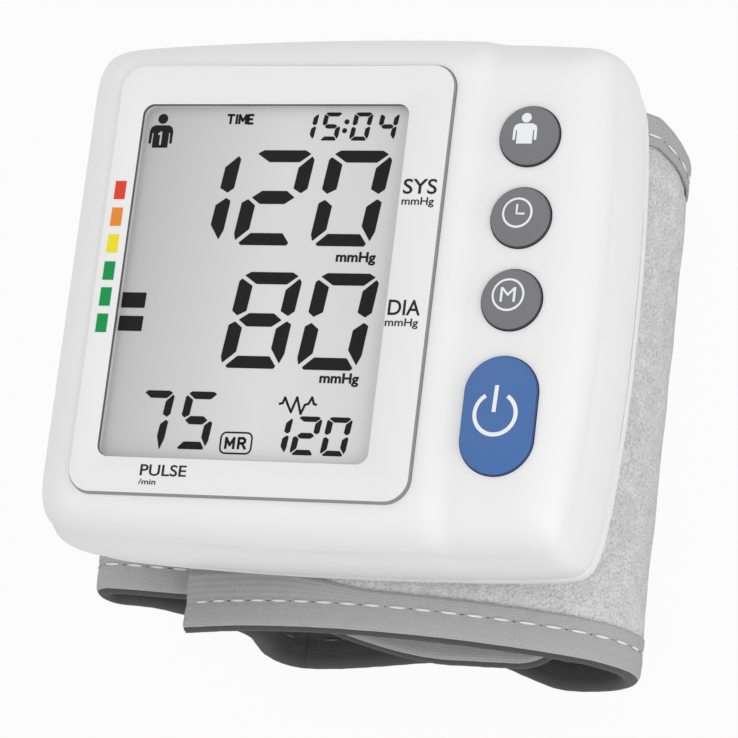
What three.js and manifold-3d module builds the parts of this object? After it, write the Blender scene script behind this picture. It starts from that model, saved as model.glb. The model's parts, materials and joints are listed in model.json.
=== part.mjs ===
// Wrist blood pressure monitor, with its cuff rolled up beneath the casing.
// Millimetres, +Z up: the cuff lies on the table, the display faces up and its text reads along +X.

import * as THREE from "three";
import { mergeVertices } from "three/addons/utils/BufferGeometryUtils.js";
import Module from "manifold-3d";

const wasm = await Module();
wasm.setup();

// Fits
const clearance = 0.3;
const seatGap = 0.15;
const slidingGap = 0.25;
const overlap = 0.2;
const passage = 1;

// Display window, the plate round it and the bare margins of the casing
const windowWidth = 38.3;
const windowHeight = 49.4;
const windowCorner = 1.5;
const borderLeft = 3.95;
const borderRight = 6.25;
const borderTop = 5.8;
const borderBottom = 5.2;
const panelThickness = 1.2;
const panelProud = 0.6;
const panelCorner = 3.5;
const panelChamfer = 0.45;
const marginLeft = 6.7;
const marginTop = 5.6;
const marginBottom = 5.2;
const lcdMargin = 2;
const lcdThickness = 2.2;
const holderWall = 1.2;
const holderLedge = 5.5;
const zebraWidth = 2.4;

// Button strip to the right of the display
const stripGap = 6.25;
const buttonDiameter = 8.5;
const buttonMargin = 6.65;
const buttonTopInset = 15.25;
const buttonPitch = 11.25;
const powerGap = 3.4;
const powerWidth = 10;
const powerLength = 16;
const buttonRise = 0.4;
const buttonDome = 0.5;
const domeAngle = 72;
const roundStretch = 0.001;
const buttonTravel = 0.5;
const tabWidth = 3.6;
const tabThickness = 0.8;
const padLip = 2.2;

// Tactile switches and circuit board
const switchSize = 6;
const switchHeight = 2;
const plungerDiameter = 3.2;
const plungerLength = 1.2;
const boardThickness = 1.6;
const boardInset = 2.2;
const boardRightInset = 4;

// Casing
const wall = 1.8;
const leftPower = 16.5;
const rightPower = 4.3;
const planOvershoot = 1.0015;
const endBow = 1.3;
const bowX = 3.5;
const sideBow = 2;
const leftRun = 8;
const leftDepth = 8.5;
const crownRun = 6.6;
const crownDepth = 5.2;
const edgeRun = 6.6;
const edgeDepth = 6.9;
const edgeShare = 0.9;
const stepRun = 3.4;
const stripDrop = 1.2;
const backWall = 3;
const backRound = 1.5;
const screwDiameter = 2.2;
const screwHead = 4.2;
const screwHeadHeight = 1.4;
const screwSlotWidth = 0.6;
const screwSlotDepth = 0.5;
const screwSlotLength = 3;
const screwGrip = 6;
const boardScrewGrip = 5;
const bossWall = 1.2;
const caseScrewLeft = 31.3;
const caseScrewRight = 6.8;

// Batteries, two cells of the AAA size
const batteryDiameter = 10.5;
const batteryLength = 44.5;
const batteryNubDiameter = 3.8;
const batteryNubLength = 0.9;
const batteryBevel = 0.5;
const batteryGap = 0.5;
const bayFloorGap = 0.5;
const cradleHeight = 3.4;
const cradleInset = 2;
const springLength = 3;
const springTipRadius = 2;
const springBaseRadius = 3.4;
const studTipRadius = 1.6;
const studBaseRadius = 2.4;
const contactThickness = 0.5;
const contactSize = 8;
const bayWall = 1.4;
const doorHeight = 7.6;
const doorLength = 48;
const doorRib = 0.9;

// Pump, valve, sensor and air lines
const motorDiameter = 10.6;
const motorLength = 18;
const motorCollar = 4.8;
const motorCollarLength = 1;
const headWidth = 12;
const headLength = 13;
const headHeight = 10.6;
const headWall = 1.5;
const pumpInset = 11.3;
const motorGap = 1;
const shaftDiameter = 2;
const shaftSocket = 3;
const eccentricDiameter = 5.6;
const eccentricLength = 3;
const eccentricOffset = 0.6;
const eccentricGap = 1;
const portDiameter = 3;
const portLength = 1.5;
const tubeDiameter = 4;
const tubeLength = 3.4;
const manifoldSize = 6;
const valveDiameter = 8.4;
const valveLength = 15;
const sensorSize = 7.6;
const sensorHeight = 4;
const sensorDistance = 15.2;
const nippleDiameter = 4.4;
const nippleRise = 2;
const saddleInset = 0.8;
const saddleWrap = 1.2;
const saddleMargin = 2;
const supportShare = 0.6;

// Cuff
const loopHeight = 30;
const archRadius = 58;
const archApex = 3;
const archLeft = 28.5;
const shoulderAngle = 28.5;
const strapThickness = 2.4;
const padThickness = 8;
const padCrown = 0.6;
const padFade = 4;
const liningThickness = 1;
const clampThickness = 2;
const clampWidth = 22;
const clampLength = 58;
const clampScrewPitch = 44;
const bladderInset = 8;
const bladderLeast = 0.5;
const cuffLower = 42.4;
const cuffUpper = 34.6;
const cuffLowerSkew = 0.025;
const cuffUpperSkew = 0.045;
const bindingWidth = 5;
const bindingThickness = 0.6;
const bindingGap = 0.2;
const tongueGap = 4.7;
const innerGap = 2.8;
const baseRun = 39.8;
const leftTurn = 6;
const flapTurn = 2.5;
const flapRun = 15.1;
const foldRadius = 3.6;
const baseLower = 39.9;
const baseUpper = 32.6;
const baseEndLower = 42.1;
const baseEase = 0.35;
const tongueEase = 0.25;
const foldLower = 36.6;
const foldUpper = 32.8;
const tongueLower = 43.8;
const tongueUpper = 25.5;
const tongueRound = 8;
const tongueTipShare = 0.98;
const hookLength = 24;
const hookThickness = 0.9;
const hookMargin = 9;

// Overall sizes that follow from the display, the strip and the stack of inner parts
const panelWidth = windowWidth + borderLeft + borderRight;
const panelHeight = windowHeight + borderTop + borderBottom;
const caseWidth = marginLeft + panelWidth + stripGap + buttonDiameter + buttonMargin;
const caseHeight = panelHeight + marginTop + marginBottom;
const right = caseWidth / 2;
const left = -right;
const panelX = left + marginLeft + panelWidth / 2;
const buttonX = right - buttonMargin - buttonDiameter / 2;
const stepX = panelX + panelWidth / 2 + stripGap / 2 - stepRun / 2;
const tabReach = (buttonPitch - buttonDiameter) / 2 - slidingGap - clearance;
const padDrop = faceDrop(buttonX + tabWidth / 2, wall) + padLip;
const tabDrop = padDrop + seatGap + tabThickness;
const switchDrop = tabDrop + buttonTravel + clearance;
const boardDrop = switchDrop + switchHeight;
const bayDrop = boardDrop + boardThickness + batteryGap;
const bayHeight = Math.max(batteryDiameter, motorDiameter, headHeight);
const caseDepth = bayDrop + bayHeight + bayFloorGap + wall;
const backLevel = loopHeight + clearance;
const face = backLevel + caseDepth;
const splitLevel = backLevel + backWall;
const floorLevel = backLevel + wall;
const clampHeadTop = loopHeight - strapThickness - clampThickness + screwHeadHeight;
const boardTop = face - boardDrop;
const boardBottom = boardTop - boardThickness;
const bayMiddle = face - bayDrop - bayHeight / 2;

const panelY = (marginBottom - marginTop) / 2;
const windowX = left + marginLeft + borderLeft + windowWidth / 2;
const windowY = -caseHeight / 2 + marginBottom + borderBottom + windowHeight / 2;
const topButtonY = caseHeight / 2 - buttonTopInset;
const powerY = topButtonY - 2 * buttonPitch - buttonDiameter / 2 - powerGap - powerLength / 2;

const part = new THREE.Group();

// Closed meshes and solids

function signedVolume(points, faces) {
  const [a, b, c] = [new THREE.Vector3(), new THREE.Vector3(), new THREE.Vector3()];
  let sum = 0;
  for (let i = 0; i < faces.length; i += 3) {
    a.fromArray(points, faces[i] * 3);
    b.fromArray(points, faces[i + 1] * 3);
    c.fromArray(points, faces[i + 2] * 3);
    sum += a.dot(b.cross(c));
  }
  return sum;
}

function solidOf(geometry) {
  const bare = new THREE.BufferGeometry();
  bare.setAttribute("position", geometry.getAttribute("position"));
  bare.setIndex(geometry.index);
  const merged = mergeVertices(bare, 1e-4);
  const points = merged.getAttribute("position").array;
  const faces = [];
  for (let i = 0; i < merged.index.count; i += 3) {
    const [a, b, c] = merged.index.array.slice(i, i + 3);
    if (a !== b && b !== c && c !== a) faces.push(a, b, c);
  }
  if (signedVolume(points, faces) < 0) faces.reverse();
  const mesh = new wasm.Mesh({ numProp: 3, vertProperties: points, triVerts: new Uint32Array(faces) });
  return new wasm.Manifold(mesh);
}

function geometryOf(solid) {
  const mesh = solid.getMesh();
  const geometry = new THREE.BufferGeometry();
  geometry.setAttribute("position", new THREE.BufferAttribute(mesh.vertProperties, 3));
  geometry.setIndex(new THREE.BufferAttribute(mesh.triVerts, 1));
  const faceted = geometry.toNonIndexed();
  faceted.computeVertexNormals();
  return faceted;
}

function finish(color, roughness, metalness = 0) {
  return new THREE.MeshStandardMaterial({ color, roughness, metalness });
}

function add(name, solid, material) {
  const mesh = new THREE.Mesh(geometryOf(solid), material);
  mesh.name = name;
  part.add(mesh);
}

function join(first, ...others) {
  return others.reduce((sum, other) => sum.add(other), first);
}

function cut(first, ...others) {
  return others.reduce((rest, other) => rest.subtract(other), first);
}

// Skins a run of sections, each a flat outline with a rule that places it in space.
function loft(sections) {
  const count = sections[0].outline.length;
  const points = sections.flatMap(({ outline, place }) => outline.flatMap((p) => place(p).toArray()));
  const faces = [];
  for (let k = 0; k + 1 < sections.length; k++) {
    for (let i = 0; i < count; i++) {
      const near = k * count;
      const far = near + count;
      const next = (i + 1) % count;
      faces.push(near + i, near + next, far + next, near + i, far + next, far + i);
    }
  }
  const last = (sections.length - 1) * count;
  const flipped = THREE.ShapeUtils.area(sections[0].outline) < 0;
  for (const [start, section] of [[0, sections[0]], [last, sections.at(-1)]]) {
    const ring = flipped ? [...section.outline].reverse() : section.outline;
    for (const corners of THREE.ShapeUtils.triangulateShape(ring, [])) {
      const [a, b, c] = corners.map((i) => start + (flipped ? count - 1 - i : i));
      if ((start === 0) === flipped) faces.push(a, b, c);
      else faces.push(c, b, a);
    }
  }
  const geometry = new THREE.BufferGeometry();
  geometry.setAttribute("position", new THREE.Float32BufferAttribute(points, 3));
  geometry.setIndex(faces);
  return solidOf(geometry);
}

// Skins outlines of equal length that lie level, one above the other.
function stack(layers) {
  return loft(
    layers.map(({ outline, z }) => ({ outline, place: (p) => new THREE.Vector3(p.x, p.y, z) })),
  );
}

function box(x0, x1, y0, y1, z0, z1) {
  const geometry = new THREE.BoxGeometry(x1 - x0, y1 - y0, z1 - z0);
  return solidOf(geometry.translate((x0 + x1) / 2, (y0 + y1) / 2, (z0 + z1) / 2));
}

function blockAt(x, y, width, length, z0, z1) {
  return box(x - width / 2, x + width / 2, y - length / 2, y + length / 2, z0, z1);
}

function rodZ(x, y, z0, z1, diameter, sides = 20) {
  const geometry = new THREE.CylinderGeometry(diameter / 2, diameter / 2, z1 - z0, sides);
  return solidOf(geometry.rotateX(Math.PI / 2).translate(x, y, (z0 + z1) / 2));
}

function rodY(x, z, y0, y1, diameter, sides = 18) {
  const geometry = new THREE.CylinderGeometry(diameter / 2, diameter / 2, y1 - y0, sides);
  return solidOf(geometry.translate(x, (y0 + y1) / 2, z));
}

function rodX(y, z, x0, x1, diameter, sides = 16) {
  const geometry = new THREE.CylinderGeometry(diameter / 2, diameter / 2, x1 - x0, sides);
  return solidOf(geometry.rotateZ(Math.PI / 2).translate((x0 + x1) / 2, y, z));
}

// A profile of radius and length turned round an axis along Y.
function turnedY(profile, x, y, z, sides = 18) {
  const points = profile.map(([radius, length]) => new THREE.Vector2(radius, length));
  return solidOf(new THREE.LatheGeometry(points, sides).translate(x, y, z));
}

function roundedOutline(x, y, width, height, radius, steps = 4) {
  const shape = new THREE.Shape();
  const [dx, dy] = [width / 2 - radius, height / 2 - radius];
  shape.absarc(x + dx, y + dy, radius, 0, Math.PI / 2);
  shape.absarc(x - dx, y + dy, radius, Math.PI / 2, Math.PI);
  shape.absarc(x - dx, y - dy, radius, Math.PI, Math.PI * 1.5);
  shape.absarc(x + dx, y - dy, radius, Math.PI * 1.5, Math.PI * 2);
  const points = shape.getPoints(steps);
  if (points[0].distanceTo(points.at(-1)) < 1e-6) points.pop();
  return points;
}

function prism(outline, z0, z1) {
  return stack([{ outline, z: z0 }, { outline, z: z1 }]);
}

function tube(curve, steps) {
  const section = new THREE.Shape().absarc(0, 0, tubeDiameter / 2, 0, Math.PI * 2);
  const options = { extrudePath: curve, steps, curveSegments: 5, bevelEnabled: false };
  return solidOf(new THREE.ExtrudeGeometry(section, options));
}

// Casing form: a plan with bowed ends, square corners on the left and a bowed side on the right,
// under a face that steps down to the strip

function ellipseDrop(share, depth) {
  const reach = THREE.MathUtils.clamp(share, 0, 1);
  return depth * (1 - Math.sqrt(1 - reach * reach));
}

// How far the skin lies below the level of the display face, at a place across the casing.
function faceDrop(x, inset) {
  const halfWidth = caseWidth / 2 - inset;
  const leftDrop = ellipseDrop((leftRun - halfWidth - x) / leftRun, leftDepth);
  const crownDrop = ellipseDrop((x - halfWidth + crownRun) / crownRun, crownDepth);
  const stepDown = stripDrop * THREE.MathUtils.smoothstep(x, stepX, stepX + stepRun);
  return inset + leftDrop + crownDrop + stepDown;
}

function caseForm(inset) {
  const halfWidth = caseWidth / 2 - inset;
  const halfHeight = caseHeight / 2 - inset;
  const reach = halfWidth * planOvershoot;
  const end = (x) => {
    const bowed = halfHeight - endBow * ((x - bowX) / reach) ** 2;
    if (x < 0) return bowed * (1 - Math.abs(x / reach) ** leftPower) ** (1 / leftPower);
    const side = halfHeight * Math.sqrt((reach - x) / sideBow);
    return (bowed ** -rightPower + side ** -rightPower) ** (-1 / rightPower);
  };
  const top = (x) => face - faceDrop(x, inset);
  return { halfWidth, end, top };
}

function caseLoft(inset, bottom) {
  const form = caseForm(inset);
  const count = 26;
  const places = [];
  for (let k = 0; k <= count; k++) places.push(form.halfWidth * Math.sin((k / count - 0.5) * Math.PI));
  for (let k = 0; k <= 4; k++) places.push(stepX + (stepRun * k) / 4);
  places.sort((a, b) => a - b);
  const arcSteps = 4;
  return loft(
    places.map((x) => {
      const reach = form.end(x);
      const run = Math.min(edgeRun, reach * edgeShare);
      const half = [new THREE.Vector2(reach, bottom)];
      for (let k = 0; k <= arcSteps; k++) {
        const angle = (k / arcSteps) * (Math.PI / 2);
        const y = reach - run + run * Math.cos(angle);
        half.push(new THREE.Vector2(y, form.top(x) - edgeDepth * (1 - Math.sin(angle))));
      }
      const other = half.map((p) => new THREE.Vector2(-p.x, p.y)).reverse();
      return { outline: [...half, ...other], place: (p) => new THREE.Vector3(x, p.x, p.y) };
    }),
  );
}

function planOutline(inset) {
  const form = caseForm(inset);
  const count = 26;
  const upper = [];
  for (let k = 0; k <= count; k++) {
    const x = form.halfWidth * Math.cos((k / count) * Math.PI);
    upper.push(new THREE.Vector2(x, form.end(x)));
  }
  const lower = upper.map((p) => new THREE.Vector2(p.x, -p.y)).reverse();
  return [...upper, ...lower];
}

const caseOuter = caseLoft(0, splitLevel + clearance);
const caseInner = caseLoft(wall, backLevel);
const innerForm = caseForm(wall);
const outerForm = caseForm(0);
const casePlastic = finish(0xf1f1f1, 0.28);

// Screws: a head below and a shank above, driven upwards

function screw(name, x, y, headBottom, grip) {
  const headTop = headBottom + screwHeadHeight;
  const head = rodZ(x, y, headBottom, headTop, screwHead, 10);
  const shank = rodZ(x, y, headTop, headTop + grip, screwDiameter, 8);
  const slotTop = headBottom + screwSlotDepth;
  const slot = blockAt(x, y, screwSlotLength, screwSlotWidth, headBottom - passage, slotTop);
  add(name, cut(join(head, shank), slot), finish(0x9a9da0, 0.35, 0.9));
}

const screwBoreDiameter = screwDiameter + 2 * clearance;
const headBore = screwHead + 2 * clearance;
const nippleBore = nippleDiameter + 2 * clearance;
const bossDiameter = screwBoreDiameter + 2 * bossWall;

function screwBore(x, y, z0, z1) {
  return rodZ(x, y, z0, z1, screwBoreDiameter, 12);
}

const caseScrewX = [left + caseScrewLeft, right - caseScrewRight];
const caseScrews = caseScrewX.flatMap((x) => {
  const y = innerForm.end(x) - bossDiameter / 2;
  return [new THREE.Vector2(x, y), new THREE.Vector2(x, -y)];
});
const bossTop = boardBottom - clearance;
const boardScrewX = stepX;
const boardScrewY = caseHeight / 2 - wall - edgeRun - bossDiameter / 2;
const boardScrews = [boardScrewY, -boardScrewY].map((y) => new THREE.Vector2(boardScrewX, y));

// Buttons of the strip

const roundButtons = ["user_button", "clock_button", "memory_button"].map((name, k) => ({
  name,
  x: buttonX,
  y: topButtonY - k * buttonPitch,
  width: buttonDiameter,
  length: buttonDiameter,
  color: 0x77787a,
}));
const powerButton = {
  name: "power_button",
  x: buttonX,
  y: powerY,
  width: powerWidth,
  length: powerLength,
  color: 0x4a75b4,
};
const buttons = [...roundButtons, powerButton];
const padBottom = face - padDrop;
const stripTop = outerForm.top(buttonX);

function buttonOutline({ x, y, width, length }, growth) {
  const radius = width / 2 + growth;
  const height = length + 2 * growth + roundStretch;
  return roundedOutline(x, y, width + 2 * growth, height, radius, 5);
}

// The cap passes through the strip, and tabs at its two ends stop it from inside.
function makeButton(button) {
  const rim = stripTop + buttonRise;
  const tabTop = padBottom - seatGap;
  const layers = [{ outline: buttonOutline(button, 0), z: tabTop - tabThickness }];
  const domeSteps = 3;
  for (let k = 0; k <= domeSteps; k++) {
    const angle = (k / domeSteps) * THREE.MathUtils.degToRad(domeAngle);
    const growth = (-button.width / 2) * (1 - Math.cos(angle));
    layers.push({ outline: buttonOutline(button, growth), z: rim + buttonDome * Math.sin(angle) });
  }
  const tabLength = button.length + 2 * (slidingGap + tabReach);
  const tabs = blockAt(button.x, button.y, tabWidth, tabLength, tabTop - tabThickness, tabTop);
  add(button.name, join(stack(layers), tabs), finish(button.color, 0.45));
}

function makeSwitch(button) {
  const stem = button.name.replace("button", "");
  const switchTop = face - switchDrop;
  const plungerTop = face - tabDrop - seatGap;
  const body = blockAt(button.x, button.y, switchSize, switchSize, boardTop + seatGap, switchTop);
  const pocketBottom = plungerTop - plungerLength - buttonTravel - clearance;
  const pocketDiameter = plungerDiameter + 2 * slidingGap;
  const pocket = rodZ(button.x, button.y, pocketBottom, switchTop + passage, pocketDiameter, 16);
  add(stem + "switch", cut(body, pocket), finish(0x2a2a2c, 0.5));
  const plunger = rodZ(button.x, button.y, plungerTop - plungerLength, plungerTop, plungerDiameter, 16);
  add(stem + "plunger", plunger, finish(0xd8d4c8, 0.5));
}

// Battery bay

const firstBatteryX = left + wall + doorRib + clearance + batteryDiameter / 2;
const batteryX = [firstBatteryX, firstBatteryX + batteryDiameter + batteryGap];
const bayRight = batteryX[1] + batteryDiameter / 2 + batteryGap;
const contactReach = batteryLength / 2 + clearance + springLength + contactThickness;
const bayEnd = contactReach + clearance;
const doorBottom = splitLevel + clearance + bossWall + clearance;
const doorTop = doorBottom + doorHeight;

function doorSpace(growth) {
  const halfLength = doorLength / 2 + growth;
  const outside = left - passage;
  const inside = left + wall + doorRib + clearance / 2;
  return box(outside, inside, -halfLength, halfLength, doorBottom - growth, doorTop + growth);
}

function makeFrontCover() {
  const padLow = powerY - powerLength / 2 - tabReach - bossWall - slidingGap;
  const padHigh = topButtonY + buttonDiameter / 2 + tabReach + bossWall + slidingGap;
  const padHalf = powerWidth / 2 + bossWall;
  const padBlock = box(buttonX - padHalf, buttonX + padHalf, padLow, padHigh, padBottom, face);
  const pad = padBlock.intersect(caseOuter);
  const bosses = caseScrews.map((p) =>
    rodZ(p.x, p.y, splitLevel + clearance, bossTop, bossDiameter, 14).intersect(caseOuter),
  );
  const postTop = face - stripDrop - wall / 2;
  const posts = boardScrews.map((p) => rodZ(p.x, p.y, boardTop + seatGap, postTop, bossDiameter, 14));
  const pocketFloor = face + panelProud - panelThickness - seatGap;
  const pocket = prism(panelOutline(-clearance), pocketFloor, face + passage);
  const lcdHole = windowBlock(lcdMargin + clearance, face - 2 * wall, face + passage);
  const buttonHoles = buttons.map((b) => prism(buttonOutline(b, slidingGap), boardTop, face));
  const boardBoreTop = boardBottom - seatGap + boardScrewGrip + clearance;
  const bores = [
    ...caseScrews.map((p) => screwBore(p.x, p.y, splitLevel, bossTop - bossWall)),
    ...boardScrews.map((p) => screwBore(p.x, p.y, boardTop, boardBoreTop)),
  ];
  const shell = join(cut(caseOuter, caseInner), pad, ...bosses, ...posts);
  const doorway = doorSpace(clearance);
  add("front_cover", cut(shell, pocket, lcdHole, doorway, ...buttonHoles, ...bores), casePlastic);
}

function makeBatteryDoor() {
  const skin = cut(caseOuter, caseInner).intersect(doorSpace(0));
  const ribHalf = doorLength / 2 - 4 * doorRib;
  const ribInset = 2 * doorRib;
  const rib = box(
    left + wall - overlap,
    left + wall + doorRib,
    -ribHalf,
    ribHalf,
    doorBottom + ribInset,
    doorTop - ribInset,
  );
  add("battery_door", join(skin, rib), casePlastic);
}

// Back cover: a tray with the battery cradle, the pump saddles and the screw seats

const clampScrews = [1, -1].map((side) => new THREE.Vector2(archApex, (side * clampScrewPitch) / 2));
const pumpX = right - pumpInset;
const motorStart = -caseScrews[2].y + bossDiameter / 2 + motorGap;
const motorEnd = motorStart + motorLength;
const headStart = motorEnd + clearance;
const headEnd = headStart + headLength;
const headMiddle = (headStart + headEnd) / 2;
const lineLength = 2 * portLength + tubeLength + 2 * clearance;
const manifoldX = pumpX - headWidth / 2 - lineLength - manifoldSize / 2;
const valveEnd = headMiddle - manifoldSize / 2 - lineLength;
const valveStart = valveEnd - valveLength;

function saddle(x, y0, y1, diameter) {
  const half = diameter / 2 - saddleInset;
  const high = bayMiddle - diameter / 2 + saddleWrap;
  return box(x - half, x + half, y0 + saddleMargin, y1 - saddleMargin, floorLevel - overlap, high);
}

function support(x, y, width, length, above) {
  const [across, down] = [width * supportShare, length * supportShare];
  return blockAt(x, y, across, down, floorLevel - overlap, above - seatGap);
}

function makeBackCover() {
  const tray = stack([
    { outline: planOutline(backRound), z: backLevel },
    { outline: planOutline(backRound * (1 - Math.SQRT1_2)), z: backLevel + backRound * (1 - Math.SQRT1_2) },
    { outline: planOutline(0), z: backLevel + backRound },
    { outline: planOutline(0), z: splitLevel },
  ]);
  const hollow = prism(planOutline(wall), floorLevel, splitLevel + passage);
  const cradleTop = bayMiddle - batteryDiameter / 2 + cradleHeight;
  const cradleHalf = batteryLength / 2 - cradleInset;
  const bayLeft = batteryX[0] - batteryDiameter / 2 + cradleInset / 2;
  const bayLow = floorLevel - overlap;
  const cradle = box(bayLeft, bayRight + bayWall, -cradleHalf, cradleHalf, bayLow, cradleTop);
  const grooves = batteryX.map((x) =>
    rodY(x, bayMiddle, -batteryLength, batteryLength, batteryDiameter + 2 * clearance),
  );
  const ends = [-1, 1].map((side) => {
    const [near, far] = [side * bayEnd, side * (bayEnd + bayWall)];
    const high = bayMiddle + contactSize / 2;
    return box(bayLeft, bayRight + bayWall, Math.min(near, far), Math.max(near, far), bayLow, high);
  });
  const saddles = [
    saddle(pumpX, motorStart, motorEnd, motorDiameter),
    saddle(manifoldX, valveStart, valveEnd, valveDiameter),
    support(pumpX, headMiddle, headWidth, headLength, bayMiddle - headHeight / 2),
    support(manifoldX, headMiddle, manifoldSize, manifoldSize, bayMiddle - manifoldSize / 2),
  ];
  const carved = [
    rodY(pumpX, bayMiddle, motorStart, motorEnd, motorDiameter + 2 * clearance),
    rodY(manifoldX, bayMiddle, valveStart, valveEnd, valveDiameter + 2 * clearance),
  ];
  const anchors = clampScrews.map((p) =>
    rodZ(p.x, p.y, bayLow, clampHeadTop + screwGrip + bossWall, bossDiameter, 14),
  );
  const below = backLevel - passage;
  const seats = caseScrews.flatMap((p) => [
    rodZ(p.x, p.y, below, backLevel + screwHeadHeight + seatGap, headBore, 14),
    screwBore(p.x, p.y, backLevel, splitLevel + passage),
    rodZ(p.x, p.y, splitLevel - clearance, splitLevel + passage, bossDiameter + 2 * clearance, 14),
  ]);
  const padDiameter = bossDiameter + 2 * bossWall;
  const pads = caseScrews.map((p) =>
    rodZ(p.x, p.y, backLevel + backRound, splitLevel - clearance, padDiameter, 14).intersect(tray),
  );
  const openings = [
    ...clampScrews.map((p) => screwBore(p.x, p.y, below, clampHeadTop + screwGrip + clearance)),
    rodZ(archApex, headMiddle, below, floorLevel + passage, nippleBore, 16),
  ];
  const bay = join(cut(cradle, ...grooves), cut(join(...saddles), ...carved), ...ends);
  const shell = join(cut(tray, hollow), bay, ...anchors, ...pads);
  add("back_cover", cut(shell, ...seats, ...openings), casePlastic);
}

// Display plate, liquid crystal cell and the frame that carries the cell

function panelOutline(inset) {
  const [width, height] = [panelWidth - 2 * inset, panelHeight - 2 * inset];
  return roundedOutline(panelX, panelY, width, height, panelCorner - inset);
}

function windowBlock(growth, z0, z1) {
  return blockAt(windowX, windowY, windowWidth + 2 * growth, windowHeight + 2 * growth, z0, z1);
}

function makeDisplay() {
  const back = face + panelProud - panelThickness;
  const front = face + panelProud;
  const plate = stack([
    { outline: panelOutline(0), z: back },
    { outline: panelOutline(0), z: front - panelChamfer },
    { outline: panelOutline(panelChamfer), z: front },
  ]);
  const windowOutline = roundedOutline(windowX, windowY, windowWidth, windowHeight, windowCorner);
  const opening = prism(windowOutline, back - passage, front + passage);
  add("display_panel", cut(plate, opening), finish(0xe6e6e6, 0.35));

  const lcdTop = back - seatGap;
  const lcdBottom = lcdTop - lcdThickness;
  add("lcd_cell", windowBlock(lcdMargin, lcdBottom, lcdTop), finish(0xcfd1d0, 0.2));

  const holderTop = face - wall - seatGap;
  const holderBottom = boardTop + seatGap;
  const seatLevel = lcdBottom - seatGap;
  const cavity = caseLoft(wall + seatGap, backLevel);
  const holderBlock = windowBlock(lcdMargin + clearance + holderWall, holderBottom, holderTop);
  const frame = holderBlock.intersect(cavity);
  const seat = windowBlock(lcdMargin + clearance, seatLevel, face);
  const hollow = windowBlock(lcdMargin - holderLedge, boardBottom, face);
  const zebraY = windowHeight / 2 + lcdMargin - holderLedge / 2;
  const zebraLength = windowWidth + 2 * (lcdMargin - holderLedge);
  const slotSize = [zebraLength + 2 * clearance, zebraWidth + 2 * clearance];
  const slots = [zebraY, -zebraY].map((y) =>
    blockAt(windowX, windowY + y, ...slotSize, boardBottom, face),
  );
  add("lcd_holder", cut(frame, seat, hollow, ...slots), finish(0xe9e9e4, 0.6));
  [["zebra_strip_top", zebraY], ["zebra_strip_bottom", -zebraY]].forEach(([name, y]) => {
    const strip = blockAt(windowX, windowY + y, zebraLength, zebraWidth, holderBottom, seatLevel);
    add(name, strip, finish(0xb9a7a0, 0.8));
  });
}

function makeBoard() {
  const boardLeft = batteryX[0] - batteryDiameter / 2 + boardInset;
  const boardRight = right - wall - boardRightInset;
  const boardHalf = innerForm.end(boardRight) - boardInset;
  const board = box(boardLeft, boardRight, -boardHalf, boardHalf, boardBottom, boardTop);
  const bores = boardScrews.map((p) => screwBore(p.x, p.y, boardBottom - passage, boardTop + passage));
  add("main_board", cut(board, ...bores), finish(0x1f6b3c, 0.5));
  const headBottom = boardBottom - seatGap - screwHeadHeight;
  boardScrews.forEach((p, k) => screw("board_screw_" + (k + 1), p.x, p.y, headBottom, boardScrewGrip));

  const sensorStart = headMiddle + sensorDistance - sensorSize / 2;
  const sensorTop = boardBottom - seatGap;
  const portZ = sensorTop - sensorHeight / 2;
  const port = rodY(manifoldX, portZ, sensorStart - portLength, sensorStart + overlap, portDiameter, 12);
  const body = box(
    manifoldX - sensorSize / 2,
    manifoldX + sensorSize / 2,
    sensorStart,
    sensorStart + sensorSize,
    sensorTop - sensorHeight,
    sensorTop,
  );
  add("pressure_sensor", join(body, port), finish(0x3a3a3d, 0.5));
}

// An end plate with a cone that reaches the cell, at the cell's upper (1) or lower (-1) end.
function contact(x, end, tipRadius, baseRadius) {
  const half = contactSize / 2;
  const tip = end * (batteryLength / 2 + clearance);
  const near = end * (contactReach - contactThickness);
  const far = end * contactReach;
  const plate = box(
    x - half,
    x + half,
    Math.min(near, far),
    Math.max(near, far),
    bayMiddle - half,
    bayMiddle + half,
  );
  const base = (near + far) / 2;
  const cone = turnedY([[0, tip], [tipRadius, tip], [baseRadius, base], [0, base]], x, 0, bayMiddle, 16);
  return join(plate, cone);
}

function makeBatteries() {
  const nickel = finish(0xc9c9c6, 0.3, 1);
  batteryX.forEach((x, k) => {
    const side = k === 0 ? 1 : -1;
    const outer = batteryDiameter / 2;
    const body = batteryLength - batteryNubLength;
    const profile = [
      [0, 0],
      [outer - batteryBevel, 0],
      [outer, batteryBevel],
      [outer, body - batteryBevel],
      [outer - batteryBevel, body],
      [batteryNubDiameter / 2, body],
      [batteryNubDiameter / 2, batteryLength],
      [0, batteryLength],
    ];
    const standing = profile.map(([radius, length]) => [radius, side * (length - batteryLength / 2)]);
    add("battery_" + (k + 1), turnedY(standing, x, 0, bayMiddle), finish(0x2f5d3a, 0.4, 0.2));
    add("battery_spring_" + (k + 1), contact(x, -side, springTipRadius, springBaseRadius), nickel);
    add("battery_contact_" + (k + 1), contact(x, side, studTipRadius, studBaseRadius), nickel);
  });
}

// Air system

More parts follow.
